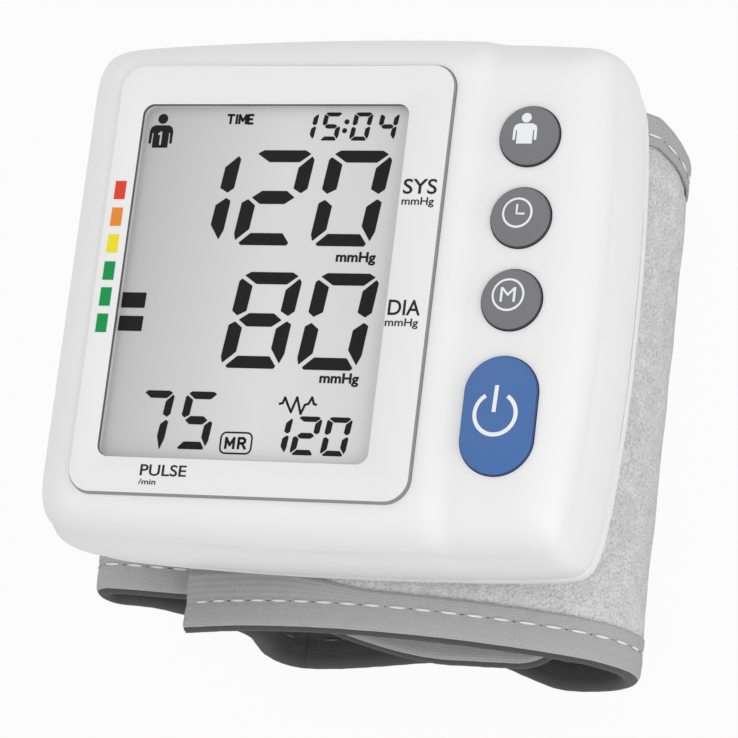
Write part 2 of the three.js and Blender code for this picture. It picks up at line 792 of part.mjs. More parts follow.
function makePump() {
  const dark = finish(0x3c3d40, 0.5);
  const steel = finish(0xb4b6b8, 0.3, 1);
  const shaftBore = shaftDiameter + 2 * clearance;
  const can = rodY(pumpX, bayMiddle, motorStart + motorCollarLength, motorEnd, motorDiameter);
  const collar = rodY(pumpX, bayMiddle, motorStart, motorEnd, motorCollar);
  const socketStart = motorEnd - shaftSocket;
  const socket = rodY(pumpX, bayMiddle, socketStart, motorEnd + passage, shaftBore, 12);
  add("pump_motor", cut(join(can, collar), socket), steel);

  const side = pumpX - headWidth / 2;
  const [low, high] = [bayMiddle - headHeight / 2, bayMiddle + headHeight / 2];
  const body = box(side, side + headWidth, headStart, headEnd, low, high);
  const chamberStart = headStart + headWall;
  const chamberDiameter = headHeight - 2 * headWall;
  const chamber = rodY(pumpX, bayMiddle, chamberStart, headEnd + passage, chamberDiameter, 20);
  const port = rodX(headMiddle, bayMiddle, side - portLength, side + overlap, portDiameter, 12);
  const entry = rodY(pumpX, bayMiddle, headStart - passage, chamberStart + overlap, shaftBore, 12);
  add("pump_head", cut(join(body, port), chamber, entry), dark);

  const eccentricStart = chamberStart + eccentricGap;
  const rotorEnd = eccentricStart + eccentricLength;
  const shaft = rodY(pumpX, bayMiddle, socketStart + clearance, rotorEnd, shaftDiameter, 12);
  const camX = pumpX + eccentricOffset;
  const eccentric = rodY(camX, bayMiddle, eccentricStart, rotorEnd, eccentricDiameter, 18);
  add("pump_rotor", join(shaft, eccentric), steel);
}

function makeAirLines() {
  const soft = finish(0xdadad2, 0.6);
  const half = manifoldSize / 2;
  const span = half + portLength;
  const ports = [
    rodX(headMiddle, bayMiddle, manifoldX - span, manifoldX + span, portDiameter, 12),
    rodY(manifoldX, bayMiddle, headMiddle - span, headMiddle + span, portDiameter, 12),
  ];
  const size = manifoldSize;
  const block = blockAt(manifoldX, headMiddle, size, size, bayMiddle - half, bayMiddle + half);
  add("air_manifold", join(block, ...ports), finish(0xe4e2da, 0.5));

  const valveBody = rodY(manifoldX, bayMiddle, valveStart, valveEnd, valveDiameter, 20);
  const valvePort = rodY(manifoldX, bayMiddle, valveEnd - overlap, valveEnd + portLength, portDiameter, 12);
  add("release_valve", join(valveBody, valvePort), finish(0x6b6d70, 0.4, 0.6));

  const at = (x, y, z) => new THREE.Vector3(x, y, z);
  const portTip = span + clearance;
  const pumpTip = pumpX - headWidth / 2 - portLength - clearance;
  const pumpLine = new THREE.LineCurve3(
    at(pumpTip, headMiddle, bayMiddle),
    at(manifoldX + portTip, headMiddle, bayMiddle),
  );
  add("tube_pump", tube(pumpLine, 1), soft);
  const valveTip = valveEnd + portLength + clearance;
  const valveLine = new THREE.LineCurve3(
    at(manifoldX, valveTip, bayMiddle),
    at(manifoldX, headMiddle - portTip, bayMiddle),
  );
  add("tube_valve", tube(valveLine, 1), soft);

  const sensorZ = boardBottom - seatGap - sensorHeight / 2;
  const sensorTip = headMiddle + sensorDistance - sensorSize / 2 - portLength - clearance;
  const manifoldTip = headMiddle + portTip;
  const middle = (sensorTip + manifoldTip) / 2;
  const bend = new THREE.CubicBezierCurve3(
    at(manifoldX, sensorTip, sensorZ),
    at(manifoldX, middle, sensorZ),
    at(manifoldX, middle, bayMiddle),
    at(manifoldX, manifoldTip, bayMiddle),
  );
  add("tube_sensor", tube(bend, 8), soft);

  const nippleTop = floorLevel + nippleRise;
  const elbow = new THREE.QuadraticBezierCurve3(
    at(archApex, headMiddle, nippleTop + clearance),
    at(archApex, headMiddle, bayMiddle),
    at(manifoldX - portTip, headMiddle, bayMiddle),
  );
  add("tube_cuff", tube(elbow, 8), soft);
}

// Cuff: one strap, walked from its padded end behind the casing, round the right bulge,
// along the table, up to the folded flap on the left and back under the pad as a tongue

function shoulderStart() {
  const angle = THREE.MathUtils.degToRad(shoulderAngle);
  const x = archApex + archRadius * Math.sin(angle);
  const z = loopHeight - archRadius * (1 - Math.cos(angle));
  return { angle, x, z };
}

const shoulder = shoulderStart();
const bulgeRadius = shoulder.z / (1 + Math.cos(shoulder.angle));
const bulgeX = shoulder.x - bulgeRadius * Math.sin(shoulder.angle);
const tongueTop = loopHeight - padThickness - innerGap;
const flapLevel = tongueTop - 2 * foldRadius;
const wallRun = flapLevel - leftTurn - flapTurn;
const leftWallX = bulgeX - baseRun - leftTurn;
const foldX = leftWallX - flapTurn - flapRun;
const tongueRun = bulgeX + bulgeRadius - strapThickness - tongueGap - foldX;

// Walks the outer face in the XZ plane; each stop keeps its place, its heading and its distance.
function walk(start, heading, moves) {
  const stops = [{ ...start, heading, distance: start.distance ?? 0 }];
  for (const { run = 0, turn = 0, radius = 0, steps } of moves) {
    const from = stops.at(-1);
    const swing = THREE.MathUtils.degToRad(turn);
    for (let k = 1; k <= steps; k++) {
      const share = k / steps;
      const now = from.heading + swing * share;
      const side = Math.sign(turn);
      const arcX = radius * side * (Math.sin(now) - Math.sin(from.heading));
      const arcZ = radius * side * (Math.cos(from.heading) - Math.cos(now));
      stops.push({
        x: from.x + arcX + run * share * Math.cos(from.heading),
        z: from.z + arcZ + run * share * Math.sin(from.heading),
        heading: now,
        distance: from.distance + (radius * Math.abs(swing) + run) * share,
      });
    }
  }
  return stops;
}

const cutAngle = THREE.MathUtils.radToDeg(clearance / 2 / bulgeRadius);
const archStartAngle = THREE.MathUtils.radToDeg(Math.asin(archLeft / archRadius));
const archStart = {
  x: archApex - archLeft,
  z: loopHeight - archRadius * (1 - Math.cos(THREE.MathUtils.degToRad(archStartAngle))),
};
const archSteps = 14;
const mainStops = walk(archStart, THREE.MathUtils.degToRad(archStartAngle), [
  { turn: -archStartAngle - shoulderAngle, radius: archRadius, steps: archSteps },
  { turn: shoulderAngle - 90 + cutAngle, radius: bulgeRadius, steps: 7 },
]);
const padStops = mainStops.slice(0, archSteps + 1);
const padLength = padStops.at(-1).distance;

const cutRadians = THREE.MathUtils.degToRad(cutAngle);
const tailStart = {
  x: bulgeX + bulgeRadius * Math.cos(cutRadians),
  z: bulgeRadius - bulgeRadius * Math.sin(cutRadians),
};
const tailMoves = [
  { turn: cutAngle - 90, radius: bulgeRadius, steps: 7 },
  { run: baseRun, steps: 6 },
  { turn: -90, radius: leftTurn, steps: 5 },
  { run: wallRun, steps: 1 },
  { turn: 90, radius: flapTurn, steps: 4 },
  { run: flapRun, steps: 2 },
  { turn: -180, radius: foldRadius, steps: 8 },
  { run: tongueRun - tongueRound, steps: 6 },
  { run: tongueRound, steps: 5 },
];
const tailStops = walk(tailStart, THREE.MathUtils.degToRad(-90 - cutAngle), tailMoves);

// Smooth passage between values at given distances along the strap
function along(landmarks, distance) {
  const next = landmarks.findIndex(([place]) => place >= distance);
  if (next <= 0) return landmarks.at(next)[1];
  const [[fromPlace, from], [toPlace, to]] = [landmarks[next - 1], landmarks[next]];
  return from + (to - from) * THREE.MathUtils.smoothstep(distance, fromPlace, toPlace);
}

const bulgeLower = -cuffLower - cuffLowerSkew * (bulgeX + bulgeRadius);
const bulgeUpper = cuffUpper - cuffUpperSkew * (bulgeX + bulgeRadius);
const quarterBulge = (Math.PI / 2) * bulgeRadius;
const cornerRun = (Math.PI / 2) * (leftTurn + flapTurn);
const foldPlace = quarterBulge + baseRun + cornerRun + wallRun + flapRun;
const tailEnd = tailStops.at(-1).distance;
const tailLowerMarks = [
  [0, bulgeLower],
  [quarterBulge, bulgeLower],
  [quarterBulge + baseRun * baseEase, -baseLower],
  [quarterBulge + baseRun, -baseEndLower],
  [foldPlace, -foldLower],
  [foldPlace + 2 * foldRadius, -foldLower],
  [tailEnd - tongueRun * tongueEase, -tongueLower],
  [tailEnd, -tongueLower],
];
const tailUpperMarks = [
  [0, bulgeUpper],
  [quarterBulge + baseRun * baseEase, baseUpper],
  [foldPlace, foldUpper],
  [tailEnd - tongueRun * tongueEase, tongueUpper],
  [tailEnd, tongueUpper],
];

function mainEdges({ x }) {
  return { low: -cuffLower - cuffLowerSkew * x, high: cuffUpper - cuffUpperSkew * x };
}

function tailEdges({ distance }) {
  const short = Math.max(0, tongueRound - (tailEnd - distance));
  const reach = Math.min(short, tongueRound * tongueTipShare);
  const inset = tongueRound - Math.sqrt(tongueRound ** 2 - reach ** 2);
  return { low: along(tailLowerMarks, distance) + inset, high: along(tailUpperMarks, distance) - inset };
}

// Skins a section given as corners of depth below the outer face and place along Y.
function strip(stops, corners) {
  return loft(
    stops.map((stop) => ({
      outline: corners(stop).map(([depth, y]) => new THREE.Vector2(depth, y)),
      place: ({ x: depth, y }) =>
        new THREE.Vector3(
          stop.x + depth * Math.sin(stop.heading),
          y,
          stop.z - depth * Math.cos(stop.heading),
        ),
    })),
  );
}

// Depth of the padded cuff at a place along the pad; past the pad only the strap is left.
const padEndDepth = strapThickness + seatGap + liningThickness;

function padDepthAt({ distance }) {
  if (distance > padLength) {
    const fade = THREE.MathUtils.smoothstep(distance, padLength, padLength + padFade);
    return padEndDepth + (strapThickness - padEndDepth) * fade;
  }
  const swell = Math.sin(Math.PI * (distance / padLength)) ** padCrown;
  return padEndDepth + (padThickness - padEndDepth) * swell;
}

// Strap section whose two edges are thinned to a tongue that the binding wraps.
function strapCorners({ low, high }) {
  const shelf = bindingWidth + clearance;
  const tip = bindingThickness + clearance;
  const near = bindingThickness + bindingGap;
  const far = strapThickness - bindingThickness - bindingGap;
  return [
    [0, low + shelf],
    [0, high - shelf],
    [near, high - shelf],
    [near, high - tip],
    [far, high - tip],
    [far, high - shelf],
    [strapThickness, high - shelf],
    [strapThickness, low + shelf],
    [far, low + shelf],
    [far, low + tip],
    [near, low + tip],
    [near, low + shelf],
  ];
}

// Binding folded round one edge; side is 1 where the cuff lies above that edge and -1 below.
function bindingCorners(edge, side, depth) {
  const lip = edge + side * bindingThickness;
  const hem = edge + side * bindingWidth;
  return [
    [0, edge],
    [depth, edge],
    [depth, hem],
    [depth - bindingThickness, hem],
    [depth - bindingThickness, lip],
    [bindingThickness, lip],
    [bindingThickness, hem],
    [0, hem],
  ];
}

const fabric = finish(0xc6c6c6, 0.95);
const tape = finish(0x9c9c9c, 0.9);

function makeMainCuff() {
  const shell = strip(mainStops, (stop) => strapCorners(mainEdges(stop)));
  const nippleHole = rodZ(archApex, headMiddle, 0, face, nippleBore, 16);
  const screwHoles = clampScrews.map((p) => screwBore(p.x, p.y, clampHeadTop, face));
  add("cuff_shell", cut(shell, nippleHole, ...screwHoles), fabric);

  const clampTop = strapThickness + seatGap;
  const clampAngle = clampWidth / archRadius;
  const clampStart = {
    x: archApex - archRadius * Math.sin(clampAngle / 2),
    z: loopHeight - archRadius * (1 - Math.cos(clampAngle / 2)),
  };
  const clampStops = walk(clampStart, clampAngle / 2, [
    { turn: -THREE.MathUtils.radToDeg(clampAngle), radius: archRadius, steps: 8 },
  ]);
  const clamp = strip(clampStops, () => [
    [clampTop, -clampLength / 2],
    [clampTop, clampLength / 2],
    [clampTop + clampThickness, clampLength / 2],
    [clampTop + clampThickness, -clampLength / 2],
  ]);
  const heads = clampScrews.map((p) => rodZ(p.x, p.y, 0, clampHeadTop, headBore, 14));
  add("cuff_clamp", cut(clamp, nippleHole, ...heads, ...screwHoles), finish(0xe2e2e0, 0.5));
  const headBottom = clampHeadTop - seatGap - screwHeadHeight;
  clampScrews.forEach((p, k) => screw("clamp_screw_" + (k + 1), p.x, p.y, headBottom, screwGrip));

  const bladderTop = clampTop + clampThickness + seatGap;
  const lowest = (stop) => padDepthAt(stop) - liningThickness - seatGap;
  const bladderStops = padStops.filter((stop) => lowest(stop) > bladderTop + bladderLeast);
  const bladder = strip(bladderStops, (stop) => {
    const { low, high } = mainEdges(stop);
    return [
      [bladderTop, low + bladderInset],
      [bladderTop, high - bladderInset],
      [lowest(stop), high - bladderInset],
      [lowest(stop), low + bladderInset],
    ];
  });
  add("cuff_bladder", bladder, finish(0x8d8f92, 0.5));

  const nippleBase = loopHeight - bladderTop + seatGap / 2;
  const nippleTop = floorLevel + nippleRise;
  const nipple = rodZ(archApex, headMiddle, nippleBase, nippleTop, nippleDiameter, 16);
  add("cuff_nipple", nipple, finish(0xd9d9d4, 0.5));

  const lining = strip(padStops, (stop) => {
    const { low, high } = mainEdges(stop);
    const [below, above] = [low + bindingWidth + clearance, high - bindingWidth - clearance];
    const depth = padDepthAt(stop);
    return [
      [depth - liningThickness, below],
      [depth - liningThickness, above],
      [depth, above],
      [depth, below],
    ];
  });
  add("cuff_lining", lining, fabric);
  const lower = strip(mainStops, (stop) => bindingCorners(mainEdges(stop).low, 1, padDepthAt(stop)));
  const upper = strip(mainStops, (stop) => bindingCorners(mainEdges(stop).high, -1, padDepthAt(stop)));
  add("binding_main_lower", lower, tape);
  add("binding_main_upper", upper, tape);
}

function makeTail() {
  add("cuff_tail", strip(tailStops, (stop) => strapCorners(tailEdges(stop))), fabric);
  const lower = strip(tailStops, (stop) => bindingCorners(tailEdges(stop).low, 1, strapThickness));
  const upper = strip(tailStops, (stop) => bindingCorners(tailEdges(stop).high, -1, strapThickness));
  add("binding_tail_lower", lower, tape);
  add("binding_tail_upper", upper, tape);

  const hookEnd = foldX + tongueRun - tongueRound;
  const underside = tongueTop - strapThickness - seatGap;
  const hook = box(
    hookEnd - hookLength,
    hookEnd,
    -tongueLower + hookMargin,
    tongueUpper - hookMargin,
    underside - hookThickness,
    underside,
  );
  add("hook_patch", hook, finish(0x8f8f8f, 0.95));
}

makeFrontCover();
makeBackCover();
makeBatteryDoor();
makeDisplay();
buttons.forEach(makeButton);
buttons.forEach(makeSwitch);
makeBoard();
makeBatteries();
makePump();
makeAirLines();
caseScrews.forEach((p, k) => screw("case_screw_" + (k + 1), p.x, p.y, backLevel + seatGap / 2, screwGrip));
makeMainCuff();
makeTail();

// The origin lies under the middle of the object, on the table.
const bounds = new THREE.Box3().setFromObject(part);
const centre = bounds.getCenter(new THREE.Vector3());
part.children.forEach((mesh) => mesh.geometry.translate(-centre.x, -centre.y, -bounds.min.z));

export default part;
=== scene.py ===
"""Wrist blood pressure monitor: a white casing with a display and four keys on a rolled cuff.

Lengths are millimetres while a piece is shaped, and become metres when it is finished.
"""
import json
import math

import bmesh
import bpy
from mathutils import Matrix, Vector, noise


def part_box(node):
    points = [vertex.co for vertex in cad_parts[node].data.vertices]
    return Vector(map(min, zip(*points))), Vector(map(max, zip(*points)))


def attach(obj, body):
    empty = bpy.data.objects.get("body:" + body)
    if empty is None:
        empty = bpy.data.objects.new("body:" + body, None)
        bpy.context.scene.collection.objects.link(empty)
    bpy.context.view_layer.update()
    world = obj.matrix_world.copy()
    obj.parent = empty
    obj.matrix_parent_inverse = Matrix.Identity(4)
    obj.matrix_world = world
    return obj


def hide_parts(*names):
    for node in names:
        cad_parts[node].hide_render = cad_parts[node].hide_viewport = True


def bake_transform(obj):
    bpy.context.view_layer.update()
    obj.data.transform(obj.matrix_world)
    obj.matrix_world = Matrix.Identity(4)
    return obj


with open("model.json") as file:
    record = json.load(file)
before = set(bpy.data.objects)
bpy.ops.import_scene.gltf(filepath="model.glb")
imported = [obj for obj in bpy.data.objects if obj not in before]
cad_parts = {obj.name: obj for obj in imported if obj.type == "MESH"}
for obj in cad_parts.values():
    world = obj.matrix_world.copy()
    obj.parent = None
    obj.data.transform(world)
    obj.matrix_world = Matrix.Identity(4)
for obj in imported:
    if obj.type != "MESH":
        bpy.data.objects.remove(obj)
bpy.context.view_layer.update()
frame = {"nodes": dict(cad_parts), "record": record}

MM = 0.001
INK = 0.04


def span(node):
    low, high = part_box(node)
    return low / MM, high / MM


case_low, case_high = span("front_cover")
panel_low, panel_high = span("display_panel")
lcd_low, lcd_high = span("lcd_cell")
door_low, door_high = span("battery_door")

CASE_X = (case_low.x + case_high.x) / 2
CASE_Y = (case_low.y + case_high.y) / 2
HALF_WIDTH = (case_high.x - case_low.x) / 2
HALF_HEIGHT = (case_high.y - case_low.y) / 2
FACE = case_high.z
CASE_FOOT = case_low.z
BACK = 30.3
SEAM = 0.3
WALL = 1.8
LCD_MARGIN = 2.0
PANEL_X = (panel_low.x + panel_high.x) / 2
PANEL_Y = (panel_low.y + panel_high.y) / 2
PANEL_WIDTH = panel_high.x - panel_low.x
PANEL_HEIGHT = panel_high.y - panel_low.y
WINDOW_X = (lcd_low.x + lcd_high.x) / 2
WINDOW_Y = (lcd_low.y + lcd_high.y) / 2
WINDOW_WIDTH = lcd_high.x - lcd_low.x - 2 * LCD_MARGIN
WINDOW_HEIGHT = lcd_high.y - lcd_low.y - 2 * LCD_MARGIN


# Finishes

def grey(level):
    return (level, level, level, 1.0)


def srgb(red, green, blue):
    def linear(share):
        return share / 12.92 if share <= 0.04045 else ((share + 0.055) / 1.055) ** 2.4
    return (linear(red / 255), linear(green / 255), linear(blue / 255), 1.0)


def feed(tree, node, inputs):
    """Gives each input its value, or the socket that leads to it."""
    for name, value in inputs.items():
        if isinstance(value, bpy.types.NodeSocket):
            tree.links.new(value, node.inputs[name])
        else:
            node.inputs[name].default_value = value


def add_node(tree, kind, inputs=None, **settings):
    node = tree.nodes.new("ShaderNode" + kind)
    for name, value in settings.items():
        setattr(node, name, value)
    feed(tree, node, inputs or {})
    return node


def new_group(name, inputs, outputs):
    tree = bpy.data.node_groups.new(name, "ShaderNodeTree")
    for label, kind in inputs.items():
        tree.interface.new_socket(label, in_out="INPUT", socket_type="NodeSocket" + kind)
    for label, kind in outputs.items():
        tree.interface.new_socket(label, in_out="OUTPUT", socket_type="NodeSocket" + kind)
    entry = tree.nodes.new("NodeGroupInput")
    return tree, entry.outputs, tree.nodes.new("NodeGroupOutput")


def maths(tree, operation, first, second):
    return add_node(tree, "Math", {0: first, 1: second}, operation=operation).outputs[0]


def ranged(tree, value, low, high, start=0.0, end=1.0):
    """A value that runs from start to end, as one that runs from low to high."""
    inputs = {"Value": value, "From Min": start, "From Max": end, "To Min": low, "To Max": high}
    return add_node(tree, "MapRange", inputs).outputs[0]


def varied(tree, value, amount):
    """A value of 0 to 1 as a factor that varies round 1 by the amount."""
    low = maths(tree, "SUBTRACT", 1.0, amount)
    return ranged(tree, value, low, maths(tree, "ADD", 1.0, amount))


def tinted(tree, colour, factor):
    return add_node(tree, "VectorMath", {0: colour, "Scale": factor}, operation="SCALE").outputs[0]


def mottle(tree, place, scale, detail):
    return add_node(tree, "TexNoise", {"Vector": place, "Scale": scale, "Detail": detail}).outputs


def bumps(tree, height, depth):
    return add_node(tree, "Bump", {"Height": height, "Distance": depth}).outputs[0]


def make_moulded_grain():
    """Fine relief, faint cloudiness and uneven gloss of a moulded surface."""
    inputs = {"Shade": "Color"}
    inputs.update({label: "Float" for label in ("Scale", "Clouding", "Roughness", "Relief")})
    outputs = {"Color": "Color", "Roughness": "Float", "Normal": "Vector"}
    tree, given, leave = new_group("moulded_grain", inputs, outputs)
    place = add_node(tree, "TexCoord").outputs["Object"]
    fine = mottle(tree, place, given["Scale"], 3.0)[0]
    broad = mottle(tree, place, 60.0, 2.0)[0]
    clouded = varied(tree, broad, given["Clouding"])
    uneven = ranged(tree, fine, 0.85, 1.15)
    results = {"Color": tinted(tree, given["Shade"], clouded)}
    results["Roughness"] = maths(tree, "MULTIPLY", uneven, given["Roughness"])
    results["Normal"] = bumps(tree, fine, given["Relief"])
    feed(tree, leave, results)
    return tree


def make_loop_pile():
    """Brushed loops: pale tufts with darker gaps, in soft broad patches."""
    inputs = {"Tuft": "Color", "Gap": "Color", "Scale": "Float", "Relief": "Float"}
    tree, given, leave = new_group("loop_pile", inputs, {"Color": "Color", "Normal": "Vector"})
    place = add_node(tree, "TexCoord").outputs["Object"]
    shift = mottle(tree, place, 900.0, 2.0)["Color"]
    bend = {0: shift, 1: (0.0009, 0.0009, 0.0009), 2: place}
    bent = add_node(tree, "VectorMath", bend, operation="MULTIPLY_ADD").outputs[0]
    cells = {"Vector": bent, "Scale": given["Scale"]}
    loops = add_node(tree, "TexVoronoi", cells, feature="SMOOTH_F1").outputs["Distance"]
    fuzz = mottle(tree, place, 5200.0, 3.0)[0]
    patches = mottle(tree, place, 420.0, 3.0)[0]
    depth = ranged(tree, loops, 0.0, 1.0, 0.75, 0.15)
    height = maths(tree, "ADD", depth, maths(tree, "MULTIPLY", fuzz, 0.45))
    share = ranged(tree, height, 0.0, 1.0, 0.3, 1.05)
    tufts = {"Factor": share, 6: given["Gap"], 7: given["Tuft"]}
    shade = add_node(tree, "Mix", tufts, data_type="RGBA").outputs[2]
    patchy = ranged(tree, patches, 0.9, 1.06, 0.3, 0.7)
    results = {"Color": tinted(tree, shade, patchy), "Normal": bumps(tree, height, given["Relief"])}
    feed(tree, leave, results)
    return tree


def make_tape_weave():
    """Fine plain weave that follows a tape, from the tape's own map in millimetres."""
    inputs = {"Shade": "Color", "Threads": "Float", "Contrast": "Float", "Relief": "Float"}
    tree, given, leave = new_group("tape_weave", inputs, {"Color": "Color", "Normal": "Vector"})
    place = add_node(tree, "UVMap", uv_map="tape").outputs[0]
    threads = {"Vector": place, "Scale": given["Threads"], "Distortion": 0.6, "Detail": 1.0}
    warp = add_node(tree, "TexWave", threads, bands_direction="X").outputs["Fac"]
    weft = add_node(tree, "TexWave", threads, bands_direction="Y").outputs["Fac"]
    lint = mottle(tree, place, 2.2, 4.0)[0]
    surface = {"Factor": 0.45, "A": maths(tree, "MULTIPLY", warp, weft), "B": lint}
    height = add_node(tree, "Mix", surface).outputs[0]
    factor = varied(tree, height, given["Contrast"])
    results = {"Color": tinted(tree, given["Shade"], factor), "Normal": bumps(tree, height, given["Relief"])}
    feed(tree, leave, results)
    return tree


MOULDED_GRAIN = make_moulded_grain()
LOOP_PILE = make_loop_pile()
TAPE_WEAVE = make_tape_weave()


def new_finish(name, roughness=0.5, metallic=0.0, sheen=0.0, shine=0.5):
    finish = bpy.data.materials.new(name)
    finish.use_nodes = True
    shader = finish.node_tree.nodes["Principled BSDF"]
    shader.inputs["Roughness"].default_value = roughness
    shader.inputs["Metallic"].default_value = metallic
    shader.inputs["Sheen Weight"].default_value = sheen
    shader.inputs["Specular IOR Level"].default_value = shine
    return finish, finish.node_tree, shader


def place_group(tree, group, shader, values):
    """Places a group with its own values, and leads its outputs to the shader."""
    node = tree.nodes.new("ShaderNodeGroup")
    node.node_tree = group
    feed(tree, node, values)
    for output in node.outputs:
        target = "Base Color" if output.name == "Color" else output.name
        tree.links.new(output, shader.inputs[target])


def moulded(name, shade, roughness, scale=1800.0, clouding=0.015, relief=0.00001, metallic=0.0, shine=0.5):
    finish, tree, shader = new_finish(name, metallic=metallic, shine=shine)
    values = {"Shade": shade, "Scale": scale, "Clouding": clouding, "Roughness": roughness, "Relief": relief}
    place_group(tree, MOULDED_GRAIN, shader, values)
    return finish


def pile(name, tuft, gap, scale, relief):
    finish, tree, shader = new_finish(name, roughness=0.95, sheen=0.15)
    place_group(tree, LOOP_PILE, shader, {"Tuft": tuft, "Gap": gap, "Scale": scale, "Relief": relief})
    return finish


def woven(name, shade, threads, contrast, relief):
    finish, tree, shader = new_finish(name, roughness=0.85, sheen=0.1)
    values = {"Shade": shade, "Threads": threads, "Contrast": contrast, "Relief": relief}
    place_group(tree, TAPE_WEAVE, shader, values)
    return finish


def make_lcd_film():
    """Grey film with painted shading: darkest at its left edge, lightest in the middle, a little darker at
    its right and a little lighter towards its foot.
    """
    finish, tree, shader = new_finish("lcd_film", roughness=0.35)
    place = add_node(tree, "TexCoord").outputs["Object"]
    parts = add_node(tree, "SeparateXYZ", {0: place}).outputs
    across = ranged(tree, parts["X"], 0.0, 1.0, lcd_low.x * MM, lcd_high.x * MM)
    upward = ranged(tree, parts["Y"], 0.0, 1.0, lcd_low.y * MM, lcd_high.y * MM)
    # The ramp across the film and the factor up it are painted shading.
    ramp = add_node(tree, "ValToRGB", {0: across})
    ramp.color_ramp.elements[0].color = srgb(176, 176, 176)
    ramp.color_ramp.elements[1].color = srgb(203, 203, 203)
    ramp.color_ramp.elements.new(0.55).color = srgb(209, 209, 209)
    shade = tinted(tree, ramp.outputs[0], ranged(tree, upward, 1.13, 1.04))
    values = {"Shade": shade, "Scale": 2600.0, "Clouding": 0.01, "Roughness": 0.35, "Relief": 0.000004}
    place_group(tree, MOULDED_GRAIN, shader, values)
    return finish


CASE_WHITE = moulded("case_white", grey(0.84), 0.42)
PANEL_WHITE = moulded("panel_white", grey(0.82), 0.42, scale=2400.0)
# Dark grey on the panel's chamfer: painted shade.
PANEL_RIM_SHADE = moulded("panel_rim_shade", grey(0.25), 0.4)
# Near black on the upper band of the window's wall: a painted shadow.
WINDOW_EDGE_SHADOW = moulded("window_edge_shadow", grey(0.1), 0.5)
WINDOW_SEAL = moulded("window_seal", srgb(196, 196, 196), 0.5)
LCD_FILM = make_lcd_film()
LCD_SEGMENT = moulded("lcd_segment", srgb(30, 30, 30), 0.7, clouding=0.05, shine=0.15)
PRINT_BLACK = moulded("print_black", srgb(34, 34, 34), 0.6, clouding=0.05, shine=0.2)
PRINT_WHITE = moulded("print_white", srgb(236, 238, 240), 0.5)
BAR_RED = moulded("bar_red", srgb(222, 66, 45), 0.5, clouding=0.04, shine=0.2)
BAR_ORANGE = moulded("bar_orange", srgb(232, 138, 48), 0.5, clouding=0.04, shine=0.2)
BAR_YELLOW = moulded("bar_yellow", srgb(240, 222, 40), 0.5, clouding=0.04, shine=0.2)
BAR_GREEN = moulded("bar_green", srgb(10, 148, 78), 0.5, clouding=0.04, shine=0.2)
KEY_GREY = moulded("key_grey", srgb(116, 116, 118), 0.42, clouding=0.03, relief=0.00002)
# Darker copies of the two key colours for the keys' sides: painted shade.
KEY_SIDE_SHADE = moulded("key_side_shade", srgb(52, 52, 54), 0.5, clouding=0.03)
POWER_SIDE_SHADE = moulded("power_side_shade", srgb(38, 70, 122), 0.5, clouding=0.03)
KEY_BLUE = moulded("key_blue", srgb(62, 106, 168), 0.42, clouding=0.03, relief=0.00002)
INNER_WHITE = moulded("inner_white", grey(0.72), 0.55, clouding=0.03)
INNER_BLACK = moulded("inner_black", grey(0.025), 0.5, clouding=0.1)
SILICONE = moulded("silicone", srgb(214, 211, 200), 0.6, clouding=0.05, relief=0.00002)
BOARD_GREEN = moulded("board_green", srgb(22, 98, 54), 0.4, scale=700.0, clouding=0.12)
SCREW_STEEL = moulded("screw_steel", grey(0.55), 0.32, scale=3000.0, clouding=0.06, metallic=1.0)
CONTACT_METAL = moulded("contact_metal", srgb(214, 212, 205), 0.25, clouding=0.05, metallic=1.0)
BATTERY_CAN = moulded("battery_can", srgb(52, 96, 66), 0.3, clouding=0.05, metallic=0.4)
BLADDER_RUBBER = moulded("bladder_rubber", srgb(128, 130, 132), 0.6, clouding=0.06)
CUFF_PILE = pile("cuff_pile", srgb(218, 218, 218), srgb(188, 188, 188), 3300.0, 0.0001)
# Dark grey of the cuff's inner face: the lining's colour darkened as painted shade inside the cuff.
CUFF_LINING_SHADE = pile("cuff_lining", srgb(98, 98, 98), srgb(58, 58, 58), 3000.0, 0.0002)
HOOK_PILE = pile("hook_pile", srgb(150, 150, 150), srgb(84, 84, 84), 1500.0, 0.0004)
BINDING_TAPE = woven("binding_tape", srgb(178, 178, 178), 0.9, 0.22, 0.0001)
# A darker copy of the tape for its inner half: painted shade.
BINDING_INSIDE_SHADE = woven("binding_inside_shade", srgb(72, 72, 72), 0.9, 0.22, 0.0001)
THREAD = moulded("thread", srgb(232, 232, 232), 0.8, scale=6000.0, clouding=0.05, relief=0.00003)
# Dark grey for needle holes and inner dashes: painted shade.
NEEDLE_HOLE_SHADE = moulded("needle_hole_shade", srgb(104, 104, 104), 0.9, clouding=0.1)

SLOT_FINISHES = {
    "case_white": CASE_WHITE,
    "panel_white": PANEL_WHITE,
    "lcd_grey": LCD_FILM,
    "inner_white": INNER_WHITE,
    "inner_black": INNER_BLACK,
    "silicone": SILICONE,
    "button_grey": KEY_GREY,
    "button_blue": KEY_BLUE,
    "board_green": BOARD_GREEN,
    "screw_steel": SCREW_STEEL,
    "contact_metal": CONTACT_METAL,
    "battery_can": BATTERY_CAN,
    "cuff_fabric": CUFF_PILE,
    "binding_tape": BINDING_TAPE,
    "hook_tape": HOOK_PILE,
    "bladder_rubber": BLADDER_RUBBER,
}


def dress_solids():
    for entry in frame["record"]["subparts"]:
        for holder in frame["nodes"][entry["node"]].material_slots:
            holder.material = SLOT_FINISHES[entry["material_slot"]]


# Shaping helpers

